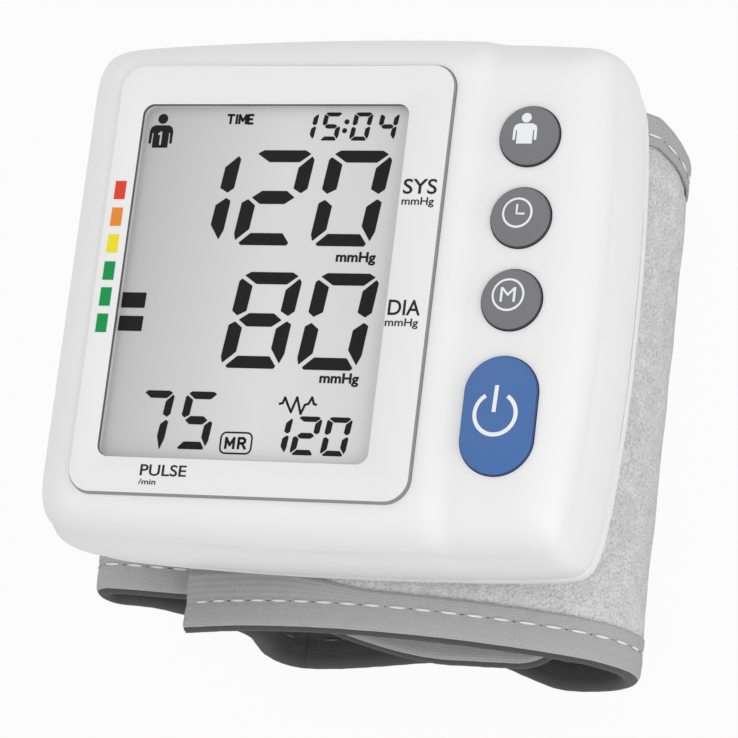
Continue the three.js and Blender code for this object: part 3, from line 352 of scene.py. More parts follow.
def finish_piece(name, bm, finishes, sharp=35.0):
    """Turns a shape in millimetres into a piece in metres at the origin."""
    bmesh.ops.scale(bm, vec=(MM, MM, MM), verts=bm.verts)
    mesh = bpy.data.meshes.new(name)
    bm.to_mesh(mesh)
    bm.free()
    for finish in finishes:
        mesh.materials.append(finish)
    mesh.shade_smooth()
    mesh.set_sharp_from_angle(angle=math.radians(sharp))
    piece = bpy.data.objects.new(name, mesh)
    bpy.context.scene.collection.objects.link(piece)
    return piece


def mount(piece, body, slot, *nodes):
    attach(piece, body)
    if nodes:
        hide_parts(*nodes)


def edges_of(verts):
    return list(dict.fromkeys(edge for vert in verts for edge in vert.link_edges))


def outward(bm):
    bmesh.ops.recalc_face_normals(bm, faces=bm.faces)


def rounded(x, y, width, height, corner, z):
    """A level outline: a circle whose quarters are pushed apart into a rounded rectangle."""
    def place(unit):
        across = corner * unit.x + math.copysign(width / 2 - corner, unit.x)
        upward = corner * unit.y + math.copysign(height / 2 - corner, unit.y)
        return Vector((x + across, y + upward, z))
    return place


def ring_stack(bm, outlines, steps=48, finishes=None, closed=False):
    """Extrudes a ring from outline to outline. A closed stack ends where it began, others are filled."""
    unit = bm.verts.layers.float_vector.new("unit")
    turn = Matrix.Rotation(math.pi / steps, 4, "Z")
    ring = bmesh.ops.create_circle(bm, segments=steps, radius=1.0, matrix=turn)["verts"]
    for vert in ring:
        vert[unit] = vert.co
        vert.co = outlines[0](vert[unit])
    edges = edges_of(ring)
    if not closed:
        bmesh.ops.edgeloop_fill(bm, edges=edges)
    for k, outline in enumerate(outlines[1:] + outlines[:1] if closed else outlines[1:]):
        grown = bmesh.ops.extrude_edge_only(bm, edges=edges)["geom"]
        ring = [item for item in grown if isinstance(item, bmesh.types.BMVert)]
        fresh = set(ring)
        edges = [edge for edge in edges_of(ring) if fresh.issuperset(edge.verts)]
        for vert in ring:
            vert.co = outline(vert[unit])
        for item in grown:
            if isinstance(item, bmesh.types.BMFace):
                item.material_index = finishes[k] if finishes else 0
    if closed:
        bmesh.ops.remove_doubles(bm, verts=bm.verts, dist=0.0001)
    else:
        bmesh.ops.edgeloop_fill(bm, edges=edges)
    bm.verts.layers.float_vector.remove(unit)
    outward(bm)


def block(bm, low, high):
    middle = [(a + b) / 2 for a, b in zip(low, high)]
    size = [b - a for a, b in zip(low, high)]
    place = Matrix.Translation(middle) @ Matrix.Diagonal((*size, 1.0))
    return bmesh.ops.create_cube(bm, size=1.0, matrix=place)["verts"]


def loose_object(name, bm):
    mesh = bpy.data.meshes.new(name)
    bm.to_mesh(mesh)
    bm.free()
    holder = bpy.data.objects.new(name, mesh)
    bpy.context.scene.collection.objects.link(holder)
    return holder


def cut(holder, name, bm, operation="DIFFERENCE"):
    tool = loose_object(name, bm)
    carve = holder.modifiers.new(name, "BOOLEAN")
    carve.operation = operation
    carve.solver = "EXACT"
    carve.object = tool
    return tool


def shaped_mesh(holder, tools):
    """The mesh of a helper object after its cuts. The helper and its tools go."""
    bpy.context.view_layer.update()
    depsgraph = bpy.context.evaluated_depsgraph_get()
    bm = bmesh.new()
    mesh = bpy.data.meshes.new_from_object(holder.evaluated_get(depsgraph), depsgraph=depsgraph)
    bm.from_mesh(mesh)
    bpy.data.meshes.remove(mesh)
    for item in [holder] + tools:
        bpy.data.objects.remove(item)
    return bm


def round_edges(bm, edges, offset, segments):
    bmesh.ops.bevel(
        bm, geom=edges, offset=offset, segments=segments, profile=0.5, affect="EDGES", material=-1
    )


def upright_edges(edges):
    return [edge for edge in edges if (edge.verts[0].co.xy - edge.verts[1].co.xy).length < 1e-5]


def add_mesh(bm, mesh, place):
    """Adds a closed copy of a helper mesh to a shape at its place."""
    part = bmesh.new()
    part.from_mesh(mesh)
    bmesh.ops.remove_doubles(part, verts=part.verts, dist=0.0001)
    bmesh.ops.holes_fill(part, edges=[edge for edge in part.edges if edge.is_boundary])
    outward(part)
    part.to_mesh(mesh)
    part.free()
    mesh.transform(place)
    bm.from_mesh(mesh)
    bpy.data.meshes.remove(mesh)


# Casing form

LEFT_RUN = 8.0
LEFT_DEPTH = 8.5
CROWN_RUN = 6.6
CROWN_DEPTH = 5.2
STRIP_DROP = 1.2
STEP_START = 18.325
STEP_END = 21.725
VALLEY_X = 20.0
VALLEY_RUN = 2.2
VALLEY_DEPTH = 0.25
EDGE_RUN = 6.6
EDGE_DEPTH = 6.9
LEFT_POWER = 16.5
RIGHT_POWER = 6.0
END_BOW = 1.3
BOW_X = 3.5
SIDE_BOW = 2.0
PLAN_OVERSHOOT = 1.0015
CORNER_POWER = 1.6
WALL_BULGE = 0.9
WALL_STEPS = 8


def clamp(value, low=0.0, high=1.0):
    return min(max(value, low), high)


def ease(value, low, high):
    share = clamp((value - low) / (high - low))
    return share * share * (3 - 2 * share)


def ellipse_drop(share, depth):
    reach = clamp(share)
    return depth * (1 - math.sqrt(1 - reach * reach))


def case_end(x, inset):
    """Half the casing's height at a place across it, from its middle."""
    reach = (HALF_WIDTH - inset) * PLAN_OVERSHOOT
    half = HALF_HEIGHT - inset
    bowed = half - END_BOW * ((x - BOW_X) / reach) ** 2
    if x < 0:
        return bowed * (1 - abs(x / reach) ** LEFT_POWER) ** (1 / LEFT_POWER)
    side = half * math.sqrt((reach - x) / SIDE_BOW)
    return (bowed ** -RIGHT_POWER + side ** -RIGHT_POWER) ** (-1 / RIGHT_POWER)


def face_drop(x, y, inset):
    """How far the casing's top lies below its highest level."""
    half = HALF_WIDTH - inset
    ends = HALF_HEIGHT - inset
    left = ellipse_drop((LEFT_RUN - half - x) / LEFT_RUN, LEFT_DEPTH)
    side = half - SIDE_BOW * (y / ends) ** 2
    crown = ellipse_drop((x - side + CROWN_RUN) / CROWN_RUN, CROWN_DEPTH)
    valley = VALLEY_DEPTH * math.exp(-((x - VALLEY_X) / VALLEY_RUN) ** 2)
    end = case_end(x, inset) if x < 0 else ends - END_BOW * ((x - BOW_X) / half) ** 2
    edge = ellipse_drop((abs(y) - end + EDGE_RUN) / EDGE_RUN, EDGE_DEPTH)
    corner = ((left + crown) ** CORNER_POWER + edge ** CORNER_POWER) ** (1 / CORNER_POWER)
    return inset + corner + valley + STRIP_DROP * ease(x, STEP_START, STEP_END)


def wall_swelling(share, inset):
    """Scale of the plan at a share of the way down the wall, which bulges half way."""
    bulge = 0.0 if inset else WALL_BULGE
    return 1 + 4 * bulge * share * (1 - share) / HALF_HEIGHT


def casing_body(inset, foot, columns, rows):
    """A solid of the casing's form, smaller by the inset, down to its foot."""
    bm = bmesh.new()
    bmesh.ops.create_grid(bm, x_segments=columns, y_segments=rows, size=1.0)
    for vert in bm.verts:
        x = (HALF_WIDTH - inset) * math.sin(vert.co.x * math.pi / 2)
        y = case_end(x, inset) * math.sin(vert.co.y * math.pi / 2)
        vert.co = (CASE_X + x, CASE_Y + y, FACE - face_drop(x, y, inset))
    for step in range(WALL_STEPS):
        before = step / WALL_STEPS
        after = (step + 1) / WALL_STEPS
        swelling = wall_swelling(after, inset) / wall_swelling(before, inset)
        rim = [edge for edge in bm.edges if edge.is_boundary]
        wall = bmesh.ops.extrude_edge_only(bm, edges=rim)["geom"]
        for vert in wall:
            if isinstance(vert, bmesh.types.BMVert):
                vert.co.x = CASE_X + (vert.co.x - CASE_X) * swelling
                vert.co.y = CASE_Y + (vert.co.y - CASE_Y) * swelling
                vert.co.z += (foot - vert.co.z) / (WALL_STEPS - step)
    bmesh.ops.edgeloop_fill(bm, edges=[edge for edge in bm.edges if edge.is_boundary])
    outward(bm)
    return bm


def casing_shell(tools):
    """The casing's skin with its wall."""
    holder = loose_object("casing_shell", casing_body(0.0, CASE_FOOT, 150, 110))
    tools.append(cut(holder, "cavity", casing_body(WALL, CASE_FOOT - 5, 70, 50)))
    return holder


def stadium(bm, x, y, width, length, low, high):
    """A closed upright body with round ends."""
    corner = width / 2 - 0.001
    outlines = [rounded(x, y, width, length, corner, z) for z in (low, high)]
    ring_stack(bm, outlines, 56)


KEYS = ("user", "clock", "memory", "power")
KEY_GAP = 0.12
ROUND_KEY = 8.3
POWER_KEY = (10.0, 16.0)


def key_size(key):
    return POWER_KEY if key == "power" else (ROUND_KEY, ROUND_KEY)


def key_middle(key):
    low, high = span(key + "_button")
    return (low.x + high.x) / 2, (low.y + high.y) / 2, high.z


PANEL_SLACK = 0.02
GRIP_COUNT = 5
GRIP_PITCH = 2.2
GRIP_HALF = Vector((0.55, 0.45, 2.4))
GRIP_SINK = 0.35
RIB_INSET = 4.0
RIB_HALF = 1.2


def make_casing_front():
    tools = []
    holder = casing_shell(tools)
    pocket = bmesh.new()
    size = (PANEL_WIDTH + 2 * PANEL_SLACK, PANEL_HEIGHT + 2 * PANEL_SLACK, PANEL_CORNER + PANEL_SLACK)
    outlines = [rounded(PANEL_X, PANEL_Y, *size, z) for z in (panel_low.z - 0.05, FACE + 3)]
    ring_stack(pocket, outlines)
    tools.append(cut(holder, "pocket", pocket))
    opening = bmesh.new()
    low = (lcd_low.x - SEAM, lcd_low.y - SEAM, FACE - 6)
    block(opening, low, (lcd_high.x + SEAM, lcd_high.y + SEAM, FACE + 2))
    tools.append(cut(holder, "opening", opening))
    for key in KEYS:
        hole = bmesh.new()
        x, y, top = key_middle(key)
        width, length = key_size(key)
        stadium(hole, x, y, width + 2 * KEY_GAP, length + 2 * KEY_GAP, top - 12, top + 6)
        tools.append(cut(holder, key + "_hole", hole))
    tools.append(cut(holder, "doorway", door_space(SEAM)))
    bm = shaped_mesh(holder, tools)
    piece = finish_piece("casing_front", bm, [CASE_WHITE], sharp=60)
    mount(piece, "monitor", "case_white", "front_cover")


def door_space(growth):
    """The room of the battery door through the casing's wall."""
    bm = bmesh.new()
    low = (door_low.x - 5, door_low.y - growth, door_low.z - growth)
    block(bm, low, (door_high.x + 2, door_high.y + growth, door_high.z + growth))
    return bm


def make_battery_door():
    """The casing's own skin inside the doorway, with grip ribs and an inner rib."""
    tools = []
    holder = casing_shell(tools)
    tools.append(cut(holder, "door_space", door_space(0.0), "INTERSECT"))
    bm = shaped_mesh(holder, tools)
    middle = (door_low + door_high) / 2
    low = (door_low.x + 1.6, door_low.y + RIB_INSET, middle.z - RIB_HALF)
    rib = block(bm, low, (door_high.x, door_high.y - RIB_INSET, middle.z + RIB_HALF))
    round_edges(bm, edges_of(rib), 0.3, 2)
    skin = door_low.x - WALL_BULGE * HALF_WIDTH / HALF_HEIGHT
    for k in range(GRIP_COUNT):
        y = middle.y + (k - (GRIP_COUNT - 1) / 2) * GRIP_PITCH
        place = Vector((skin + GRIP_SINK, y, middle.z))
        grip = block(bm, place - GRIP_HALF, place + GRIP_HALF)
        round_edges(bm, edges_of(grip), 0.22, 3)
    piece = finish_piece("battery_cover", bm, [CASE_WHITE], sharp=60)
    mount(piece, "door", "case_white", "battery_door")


def plan(inset, z):
    """A level outline that follows the casing's plan."""
    def place(unit):
        x = (HALF_WIDTH - inset) * unit.x
        y = math.copysign(case_end(x, inset), unit.y)
        return Vector((CASE_X + x, CASE_Y + y, z))
    return place


def make_back_rim():
    """Smooth rounded rim round the back cover."""
    bm = bmesh.new()
    levels = [(2.4, BACK - 0.02), (1.5, BACK - 0.02), (0.87, BACK + 0.12), (0.42, BACK + 0.42)]
    levels += [(0.1, BACK + 0.87), (-0.02, BACK + 1.5), (-0.02, CASE_FOOT - SEAM - 0.15)]
    levels += [(0.13, CASE_FOOT - SEAM), (1.0, CASE_FOOT - SEAM), (1.2, BACK + 1.6)]
    ring_stack(bm, [plan(inset, z) for inset, z in levels], 160, closed=True)
    piece = finish_piece("casing_back_rim", bm, [CASE_WHITE])
    mount(piece, "monitor", "case_white")


# Display

PANEL_CORNER = 3.5
WINDOW_CORNER = 1.5
RIM_RUN = 0.26
RIM_HEIGHT = 0.75


def make_display_panel():
    bm = bmesh.new()
    front = panel_high.z
    # The chamfer of this rim is painted dark grey as painted shade.
    rim = [(0.0, panel_low.z), (0.0, front - RIM_HEIGHT), (RIM_RUN, front - 0.02), (RIM_RUN + 0.12, front)]
    outlines = []
    for inset, z in rim:
        size = (PANEL_WIDTH - 2 * inset, PANEL_HEIGHT - 2 * inset, PANEL_CORNER - inset)
        outlines.append(rounded(PANEL_X, PANEL_Y, *size, z))
    # The band from 0.1 to 0.6 below the front takes the painted shadow.
    levels = [(0.3, front), (0.08, front - 0.1), (0.0, front - 0.3), (0.0, front - 0.6), (0.0, lcd_high.z)]
    levels += [(0.8, lcd_high.z), (0.8, panel_low.z)]
    for growth, z in levels:
        size = (WINDOW_WIDTH + 2 * growth, WINDOW_HEIGHT + 2 * growth, WINDOW_CORNER + growth)
        outlines.append(rounded(WINDOW_X, WINDOW_Y, *size, z))
    ring_stack(bm, outlines, 64, [0, 1, 0, 0, 0, 2, 2, 3, 3, 3, 0], closed=True)
    piece = finish_piece("panel_frame", bm, [PANEL_WHITE, PANEL_RIM_SHADE, WINDOW_EDGE_SHADOW, WINDOW_SEAL])
    mount(piece, "monitor", "panel_white", "display_panel")


# The bars of the tallest figures, in millimetres, before they lean. The seven has its own foot, k.
FIGURE_HEIGHT = 13.4
FIGURE_LEAN = 0.12
BARS = {
    "a": [(0.63, 12.9), (1.41, 13.4), (7.4, 13.4), (8.31, 12.9), (6.91, 11.72), (2.53, 11.72)],
    "b": [(8.55, 12.55), (8.95, 12.1), (8.95, 8.0), (8.15, 7.35), (6.95, 8.0), (6.95, 10.95)],
    "c": [(8.2, 6.6), (8.9, 6.2), (8.95, 2.1), (8.5, 0.75), (6.9, 2.8), (6.9, 5.55)],
    "d": [(0.95, 0.3), (2.35, 1.7), (6.95, 1.7), (8.1, 0.35), (7.85, 0.0), (1.25, 0.0)],
    "e": [(0.8, 6.45), (2.0, 5.6), (2.0, 2.25), (0.36, 0.67), (0.0, 1.6), (0.0, 5.95)],
    "f": [(0.35, 12.45), (2.05, 11.45), (2.05, 7.95), (0.85, 7.3), (0.0, 7.95), (0.0, 12.1)],
    "k": [(8.2, 6.6), (8.9, 6.2), (8.95, 2.1), (8.25, -0.3), (6.9, 2.8), (6.9, 5.55)],
    "g": [(1.28, 6.7), (2.55, 7.65), (6.1, 7.65), (7.4, 6.75), (6.15, 5.8), (2.6, 5.8)],
}
FIGURES = {"0": "abcdef", "1": "bc", "2": "abged", "4": "fgbc", "5": "afgcd", "7": "abk", "8": "abcdefg"}


def plate(bm, corners, level):
    """A thin flat plate from its outline."""
    face = bm.faces.new([bm.verts.new((x, y, level)) for x, y in corners])
    lifted = bmesh.ops.extrude_face_region(bm, geom=[face])["geom"]
    top = [vert for vert in lifted if isinstance(vert, bmesh.types.BMVert)]
    bmesh.ops.translate(bm, verts=top, vec=(0, 0, INK))


def grown(corners, amount):
    """An outline whose box is larger by the amount each way."""
    def wider(values):
        middle = (min(values) + max(values)) / 2
        scale = 1 + amount / (max(values) - min(values))
        return [middle + (value - middle) * scale for value in values]
    return list(zip(wider([x for x, y in corners]), wider([y for x, y in corners])))


def figure(bm, number, left, foot, height, breadth, level):
    """A number of bars. Small numbers have bolder bars."""
    size = height / FIGURE_HEIGHT
    for bar in FIGURES[number]:
        corners = [(left + (x * breadth + FIGURE_LEAN * y) * size, foot + y * size) for x, y in BARS[bar]]
        plate(bm, grown(corners, 0.1 * (1 - size)), level)


def soften_corners(bm, offset):
    """Rounds the upright edges of thin plates."""
    round_edges(bm, upright_edges(bm.edges), offset, 2)


def lettering(bm, words, left, right, foot, top, level, weight=0.0):
    """Raised letters that fill a box."""
    curve = bpy.data.curves.new("letters", "FONT")
    curve.body = words
    curve.offset = weight
    curve.extrude = 0.1
    curve.resolution_u = 6
    holder = bpy.data.objects.new("letters", curve)
    mesh = bpy.data.meshes.new_from_object(holder)
    low = [min(vert.co[k] for vert in mesh.vertices) for k in range(3)]
    high = [max(vert.co[k] for vert in mesh.vertices) for k in range(3)]
    wanted = (right - left, top - foot, INK)
    size = [wanted[k] / (high[k] - low[k]) for k in range(3)]
    shift = [left - low[0] * size[0], foot - low[1] * size[1], level - low[2] * size[2]]
    add_mesh(bm, mesh, Matrix.Translation(shift) @ Matrix.Diagonal((*size, 1.0)))
    bpy.data.objects.remove(holder)
    bpy.data.curves.remove(curve)


def stroke(bm, points, width, level, closed=False):
    """A drawn line of even width."""
    curve = bpy.data.curves.new("line", "CURVE")
    curve.dimensions = "3D"
    curve.bevel_depth = width / 2
    curve.bevel_resolution = 1
    curve.use_fill_caps = True
    line = curve.splines.new("POLY")
    line.points.add(len(points) - 1)
    for spot, (x, y) in zip(line.points, points):
        spot.co = (x, y, 0.0, 1.0)
    line.use_cyclic_u = closed
    holder = bpy.data.objects.new("line", curve)
    mesh = bpy.data.meshes.new_from_object(holder)
    flat = Matrix.Diagonal((1.0, 1.0, INK / width, 1.0))
    add_mesh(bm, mesh, Matrix.Translation((0, 0, level + INK / 2)) @ flat)
    bpy.data.objects.remove(holder)
    bpy.data.curves.remove(curve)


def drawn_lines(bm, points, width, level):
    """Straight strokes of even width from point to point."""
    for first, second in zip(points, points[1:]):
        reach = (Vector(second) - Vector(first)).normalized() * width * 0.3
        stroke(bm, [tuple(Vector(first) - reach), tuple(Vector(second) + reach)], width, level)


# Letters of the display, as strokes in shares of the letter's height
UPRIGHT = [(0.05, 0.0), (0.05, 1.0)]
LETTERS = {
    "T": [[(0.0, 1.0), (0.72, 1.0)], [(0.36, 1.0), (0.36, 0.0)]],
    "I": [[(0.1, 1.0), (0.1, 0.0)]],
    "M": [UPRIGHT, [(0.05, 1.0), (0.45, 0.3), (0.85, 1.0)], [(0.85, 1.0), (0.85, 0.0)]],
    "E": [UPRIGHT, [(0.05, 1.0), (0.6, 1.0)], [(0.05, 0.5), (0.5, 0.5)], [(0.05, 0.0), (0.6, 0.0)]],
    "R": [
        UPRIGHT, [(0.05, 1.0), (0.5, 1.0), (0.68, 0.85), (0.68, 0.65), (0.5, 0.5), (0.05, 0.5)],
        [(0.4, 0.5), (0.75, 0.0)],
    ],
}


def drawn_letter(bm, letter, left, foot, height, width, level):
    for line in LETTERS[letter]:
        drawn_lines(bm, [(left + x * height, foot + y * height) for x, y in line], width, level)


def ring_points(x, y, radius, start=0.0, sweep=360.0, steps=36):
    """Places on a circle, in degrees anticlockwise from the right."""
    places = []
    count = steps if sweep == 360.0 else steps + 1
    for k in range(count):
        angle = math.radians(start + sweep * k / steps)
        places.append((x + radius * math.cos(angle), y + radius * math.sin(angle)))
    return places


PERSON = [
    (0.95, 2.75), (1.45, 2.5), (1.62, 2.0), (1.62, 0.5), (1.28, 0.5), (1.24, 1.85), (1.08, 1.85), (1.08, 0.0),
]


def person(bm, x, y, level, size=1.0, tall=1.0):
    """A standing figure sign: round head over shoulders and arms."""
    half = [(x + a * size, y + b * size * tall) for a, b in PERSON]
    other = [(x - a * size, y + b * size * tall) for a, b in reversed(PERSON)]
    plate(bm, half + other, level)
    plate(bm, ring_points(x, y + 3.55 * size * tall, 0.68 * size, steps=16), level)


def display_place(x, y):
    """A place measured from the middle of the window."""
    return WINDOW_X + x, WINDOW_Y + y


def display_words(bm, words, left, right, foot, top, level, weight):
    low_x, low_y = display_place(left, foot)
    high_x, high_y = display_place(right, top)
    lettering(bm, words, low_x, high_x, low_y, high_y, level, weight)


def display_lines(bm, spots, width, level):
    drawn_lines(bm, [display_place(*spot) for spot in spots], width, level)


def make_lcd_figures():
    bm = bmesh.new()
    level = lcd_high.z
    rows = [("120", (-14.9, -4.3, 6.75), 5.25, 13.4, 1.0), ("80", (-3.88, 7.02), -11.85, 13.35, 1.0)]
    rows += [("75", (-15.1, -8.75), -23.15, 7.9, 0.88), ("120", (3.63, 7.75, 12.0), -23.45, 5.2, 1.0)]
    rows += [("1504", (2.88, 6.35, 10.65, 14.4), 20.1, 3.9, 1.0)]
    for numbers, lefts, foot, height, breadth in rows:
        for number, left in zip(numbers, lefts):
            x, y = display_place(left, foot)
            figure(bm, number, x, y, height, breadth, level)
    for top, foot in ((-1.65, -3.8), (-4.95, -7.05)):
        left, low = display_place(-19.15, foot)
        right, high = display_place(-15.7, top)
        plate(bm, [(left, low), (right, low), (right + 0.05, high), (left, high)], level)
    for x, y in ((10.06, 22.71), (9.88, 21.46)):
        plate(bm, ring_points(*display_place(x, y), 0.38, steps=8), level)
    person(bm, *display_place(-16.72, 18.95), level, 1.06, 1.1)
    outward(bm)
    soften_corners(bm, 0.1)
    for sides in ((10.9, 16.5, 2.65, 4.5), (10.7, 16.2, -14.05, -12.2)):
        display_words(bm, "mmHg", *sides, level, 0.03)
    for letter, left in zip("TIME", (-7.2, -6.02, -5.55, -4.25)):
        drawn_letter(bm, letter, *display_place(left, 22.45), 1.2, 0.34, level)
    for letter, left in zip("MR", (-1.45, 0.35)):
        drawn_letter(bm, letter, *display_place(left, -22.85), 1.4, 0.36, level)
    frame_box = []
    for x, y, start in ((1.5, -21.45, 0.0), (-1.4, -21.45, 90.0), (-1.4, -22.8, 180.0), (1.5, -22.8, 270.0)):
        frame_box += ring_points(x, y, 0.75, start, 90.0, 5)
    stroke(bm, [display_place(*spot) for spot in frame_box], 0.24, level, closed=True)
    beat = [(5.5, -16.6), (5.95, -16.5), (6.2, -15.7), (6.65, -16.6), (7.25, -17.7), (7.9, -15.65)]
    beat += [(8.65, -17.9), (9.1, -16.65), (9.6, -16.5), (10.0, -15.6), (10.35, -16.5), (10.7, -16.6)]
    display_lines(bm, beat, 0.32, level)
    piece = finish_piece("lcd_figures", bm, [LCD_SEGMENT])
    mount(piece, "monitor", "lcd_grey")
    light = bmesh.new()
    number_one = [(-17.05, 20.85), (-16.7, 21.2), (-16.7, 19.4)]
    display_lines(light, number_one, 0.26, level + INK)
    number = finish_piece("lcd_user_number", light, [LCD_FILM])
    mount(number, "monitor", "lcd_grey")


def make_panel_print():
    bm = bmesh.new()
    level = panel_high.z
    words = [("PULSE", -12.5, -5.9, -27.3, -25.75), ("/min", -12.55, -10.1, -28.5, -27.75)]
    words += [("SYS", 19.7, 24.4, 12.2, 14.3), ("mmHg", 19.7, 24.2, 10.35, 11.75)]
    words += [("DIA", 19.6, 24.1, -4.5, -2.4), ("mmHg", 19.4, 24.0, -6.35, -4.95)]
    for word, *sides in words:
        display_words(bm, word, *sides, level, 0.01)
    piece = finish_piece("panel_print", bm, [PRINT_BLACK])
    mount(piece, "monitor", "panel_white")
    bars = bmesh.new()
    shades = [(12.4, 0), (8.6, 1), (4.8, 2), (0.96, 3), (-2.7, 3), (-6.4, 3)]
    for y, shade in shades:
        before = len(bars.faces)
        low = display_place(-21.82, y - 1.3)
        high = display_place(-20.22, y + 1.3)
        plate(bars, [low, (high[0], low[1]), high, (low[0], high[1])], level)
        bars.faces.ensure_lookup_table()
        for face in bars.faces[before:]:
            face.material_index = shade
    outward(bars)
    piece = finish_piece("level_bars", bars, [BAR_RED, BAR_ORANGE, BAR_YELLOW, BAR_GREEN])
    mount(piece, "monitor", "panel_white")


# Keys

KEY_ROUND = 0.36
KEY_CROWN = 0.3


def crown_drop(x, y, width, length):
    """How far a key's top lies below its highest point."""
    beside = max(abs(y) - (length - width) / 2, 0.0)
    share = math.hypot(x, beside) / (width / 2)
    return KEY_CROWN * share * share


def key_slot(key):
    return "button_blue" if key == "power" else "button_grey"


def make_key(key):
    bm = bmesh.new()
    x, y, top = key_middle(key)
    width, length = key_size(key)
    levels = [(0.0, top - 4.5), (0.0, top - KEY_CROWN - KEY_ROUND)]
    for k in range(1, 5):
        angle = math.radians(90 * k / 4)
        inset = KEY_ROUND * (1 - math.cos(angle))
        levels.append((inset, top - KEY_CROWN - KEY_ROUND * (1 - math.sin(angle))))
    outlines = []
    for inset, z in levels:
        corner = width / 2 - inset - 0.001
        outlines.append(rounded(x, y, width - 2 * inset, length - 2 * inset, corner, z))
    for share in (0.7, 0.45, 0.2, 0.02):
        radius = (width / 2 - KEY_ROUND) * share
        z = top - KEY_CROWN * share * share
        outlines.append(rounded(x, y, 2 * radius, 2 * radius + length - width, radius - 0.001, z))
    # The side and the lower part of the rounding take the darker copy, a painted shade.
    ring_stack(bm, outlines, 64, [1, 1, 1] + [0] * (len(outlines) - 4))
    finishes = [KEY_BLUE, POWER_SIDE_SHADE] if key == "power" else [KEY_GREY, KEY_SIDE_SHADE]
    piece = finish_piece(key + "_cap", bm, finishes, sharp=50)
    mount(piece, key + "_key", key_slot(key), key + "_button")


def settle_on_key(bm, key):
    """Lays a flat sign on a key's crowned top."""
    x, y, top = key_middle(key)
    width, length = key_size(key)
    bmesh.ops.triangulate(bm, faces=bm.faces)
    long_edges = [edge for edge in bm.edges if edge.calc_length() > 0.7]
    bmesh.ops.subdivide_edges(bm, edges=long_edges, cuts=3)
    bmesh.ops.triangulate(bm, faces=bm.faces)
    for vert in bm.verts:
        vert.co.z += top - crown_drop(vert.co.x - x, vert.co.y - y, width, length)


def make_key_signs():
    signs = {key: bmesh.new() for key in KEYS}
    person(signs["user"], *display_place(35.4, 19.6), 0.0, 1.02)
    outward(signs["user"])
    soften_corners(signs["user"], 0.1)
    x, y = display_place(35.57, 10.08)
    stroke(signs["clock"], ring_points(x, y, 1.95), 0.3, 0.0, closed=True)
    stroke(signs["clock"], [(x - 0.1, y + 1.15), (x - 0.1, y - 0.15), (x + 1.0, y - 0.15)], 0.3, 0.0)
    x, y = display_place(35.55, -1.13)
    stroke(signs["memory"], ring_points(x, y, 2.1), 0.3, 0.0, closed=True)
    lettering(signs["memory"], "M", x - 1.05, x + 1.05, y - 1.0, y + 1.0, 0.0)
    x, y = display_place(35.6, -17.2)
    stroke(signs["power"], ring_points(x, y, 2.8, start=122.0, sweep=296.0), 0.55, 0.0)
    stroke(signs["power"], [(x - 0.1, y + 3.8), (x - 0.2, y + 0.2)], 0.55, 0.0)
    for key, bm in signs.items():
        settle_on_key(bm, key)
        piece = finish_piece(key + "_sign", bm, [PRINT_WHITE])
        mount(piece, key + "_key", key_slot(key))


# Cuff form: a padded arch behind the casing, a bulge, a base on the table, a fold and a tongue

LOOP_HEIGHT = 30.0
ARCH_RADIUS = 58.0
ARCH_LEFT = 29.7
ARCH_APEX = 3.0
SHOULDER = math.radians(28.5)
STRAP = 2.4
PAD_END_DEPTH = 3.55
PAD_DEPTH = 8.0
BASE_RUN = 39.8
LEFT_TURN = 6.0
FLAP_TURN = 2.5
FLAP_RUN = 15.5
FOLD_RADIUS = 3.6
FLAP_LEVEL = 12.0
TONGUE_GAP = 4.7
TONGUE_ROUND = 8.0
CUFF_LOWER = 42.4
CUFF_LOWER_SKEW = 0.025
CUFF_UPPER = 34.6
CUFF_UPPER_SKEW = 0.045
LIP_RISE = 2.0
LIP_FALL = 2.6
BINDING_WIDTH = 5.8
TAPE_THICK = 0.45
TAPE_PROUD = 0.15

ARCH_START = math.asin(ARCH_LEFT / ARCH_RADIUS)
SHOULDER_Z = LOOP_HEIGHT - ARCH_RADIUS * (1 - math.cos(SHOULDER))
BULGE_RADIUS = SHOULDER_Z / (1 + math.cos(SHOULDER))
TONGUE_RUN = BULGE_RADIUS - STRAP - TONGUE_GAP + BASE_RUN + LEFT_TURN + FLAP_TURN + FLAP_RUN
PAD_LENGTH = ARCH_RADIUS * (ARCH_START + SHOULDER)
LIP_TURN = PAD_LENGTH + 5.6
CUT = PAD_LENGTH + BULGE_RADIUS * (math.pi / 2 - SHOULDER)
QUARTER_BULGE = BULGE_RADIUS * math.pi / 2
WRAP_LENGTH = CUT + QUARTER_BULGE + BASE_RUN
TAIL_START = QUARTER_BULGE + BASE_RUN

ARCH_START_Z = LOOP_HEIGHT - ARCH_RADIUS * (1 - math.cos(ARCH_START))
WRAP_START = (ARCH_APEX - ARCH_LEFT, ARCH_START_Z, ARCH_START)
WRAP_MOVES = [
    (PAD_LENGTH, -ARCH_START - SHOULDER),
    (WRAP_LENGTH - PAD_LENGTH - BASE_RUN, SHOULDER - math.pi),
    (BASE_RUN, 0.0),
]
TAIL_MOVES = [
    (LEFT_TURN * math.pi / 2, -math.pi / 2),
    (FLAP_LEVEL - LEFT_TURN - FLAP_TURN, 0.0),
    (FLAP_TURN * math.pi / 2, math.pi / 2),
    (FLAP_RUN, 0.0),
    (FOLD_RADIUS * math.pi, -math.pi),
    (TONGUE_RUN, 0.0),
]
TAIL_LENGTH = sum(length for length, turn in TAIL_MOVES)
TAIL_END = TAIL_START + TAIL_LENGTH
FOLD_PLACE = TAIL_END - TONGUE_RUN - FOLD_RADIUS * math.pi

TONGUE_EASE = TAIL_END - 0.25 * TONGUE_RUN
BASE_EASE = QUARTER_BULGE + 0.35 * BASE_RUN

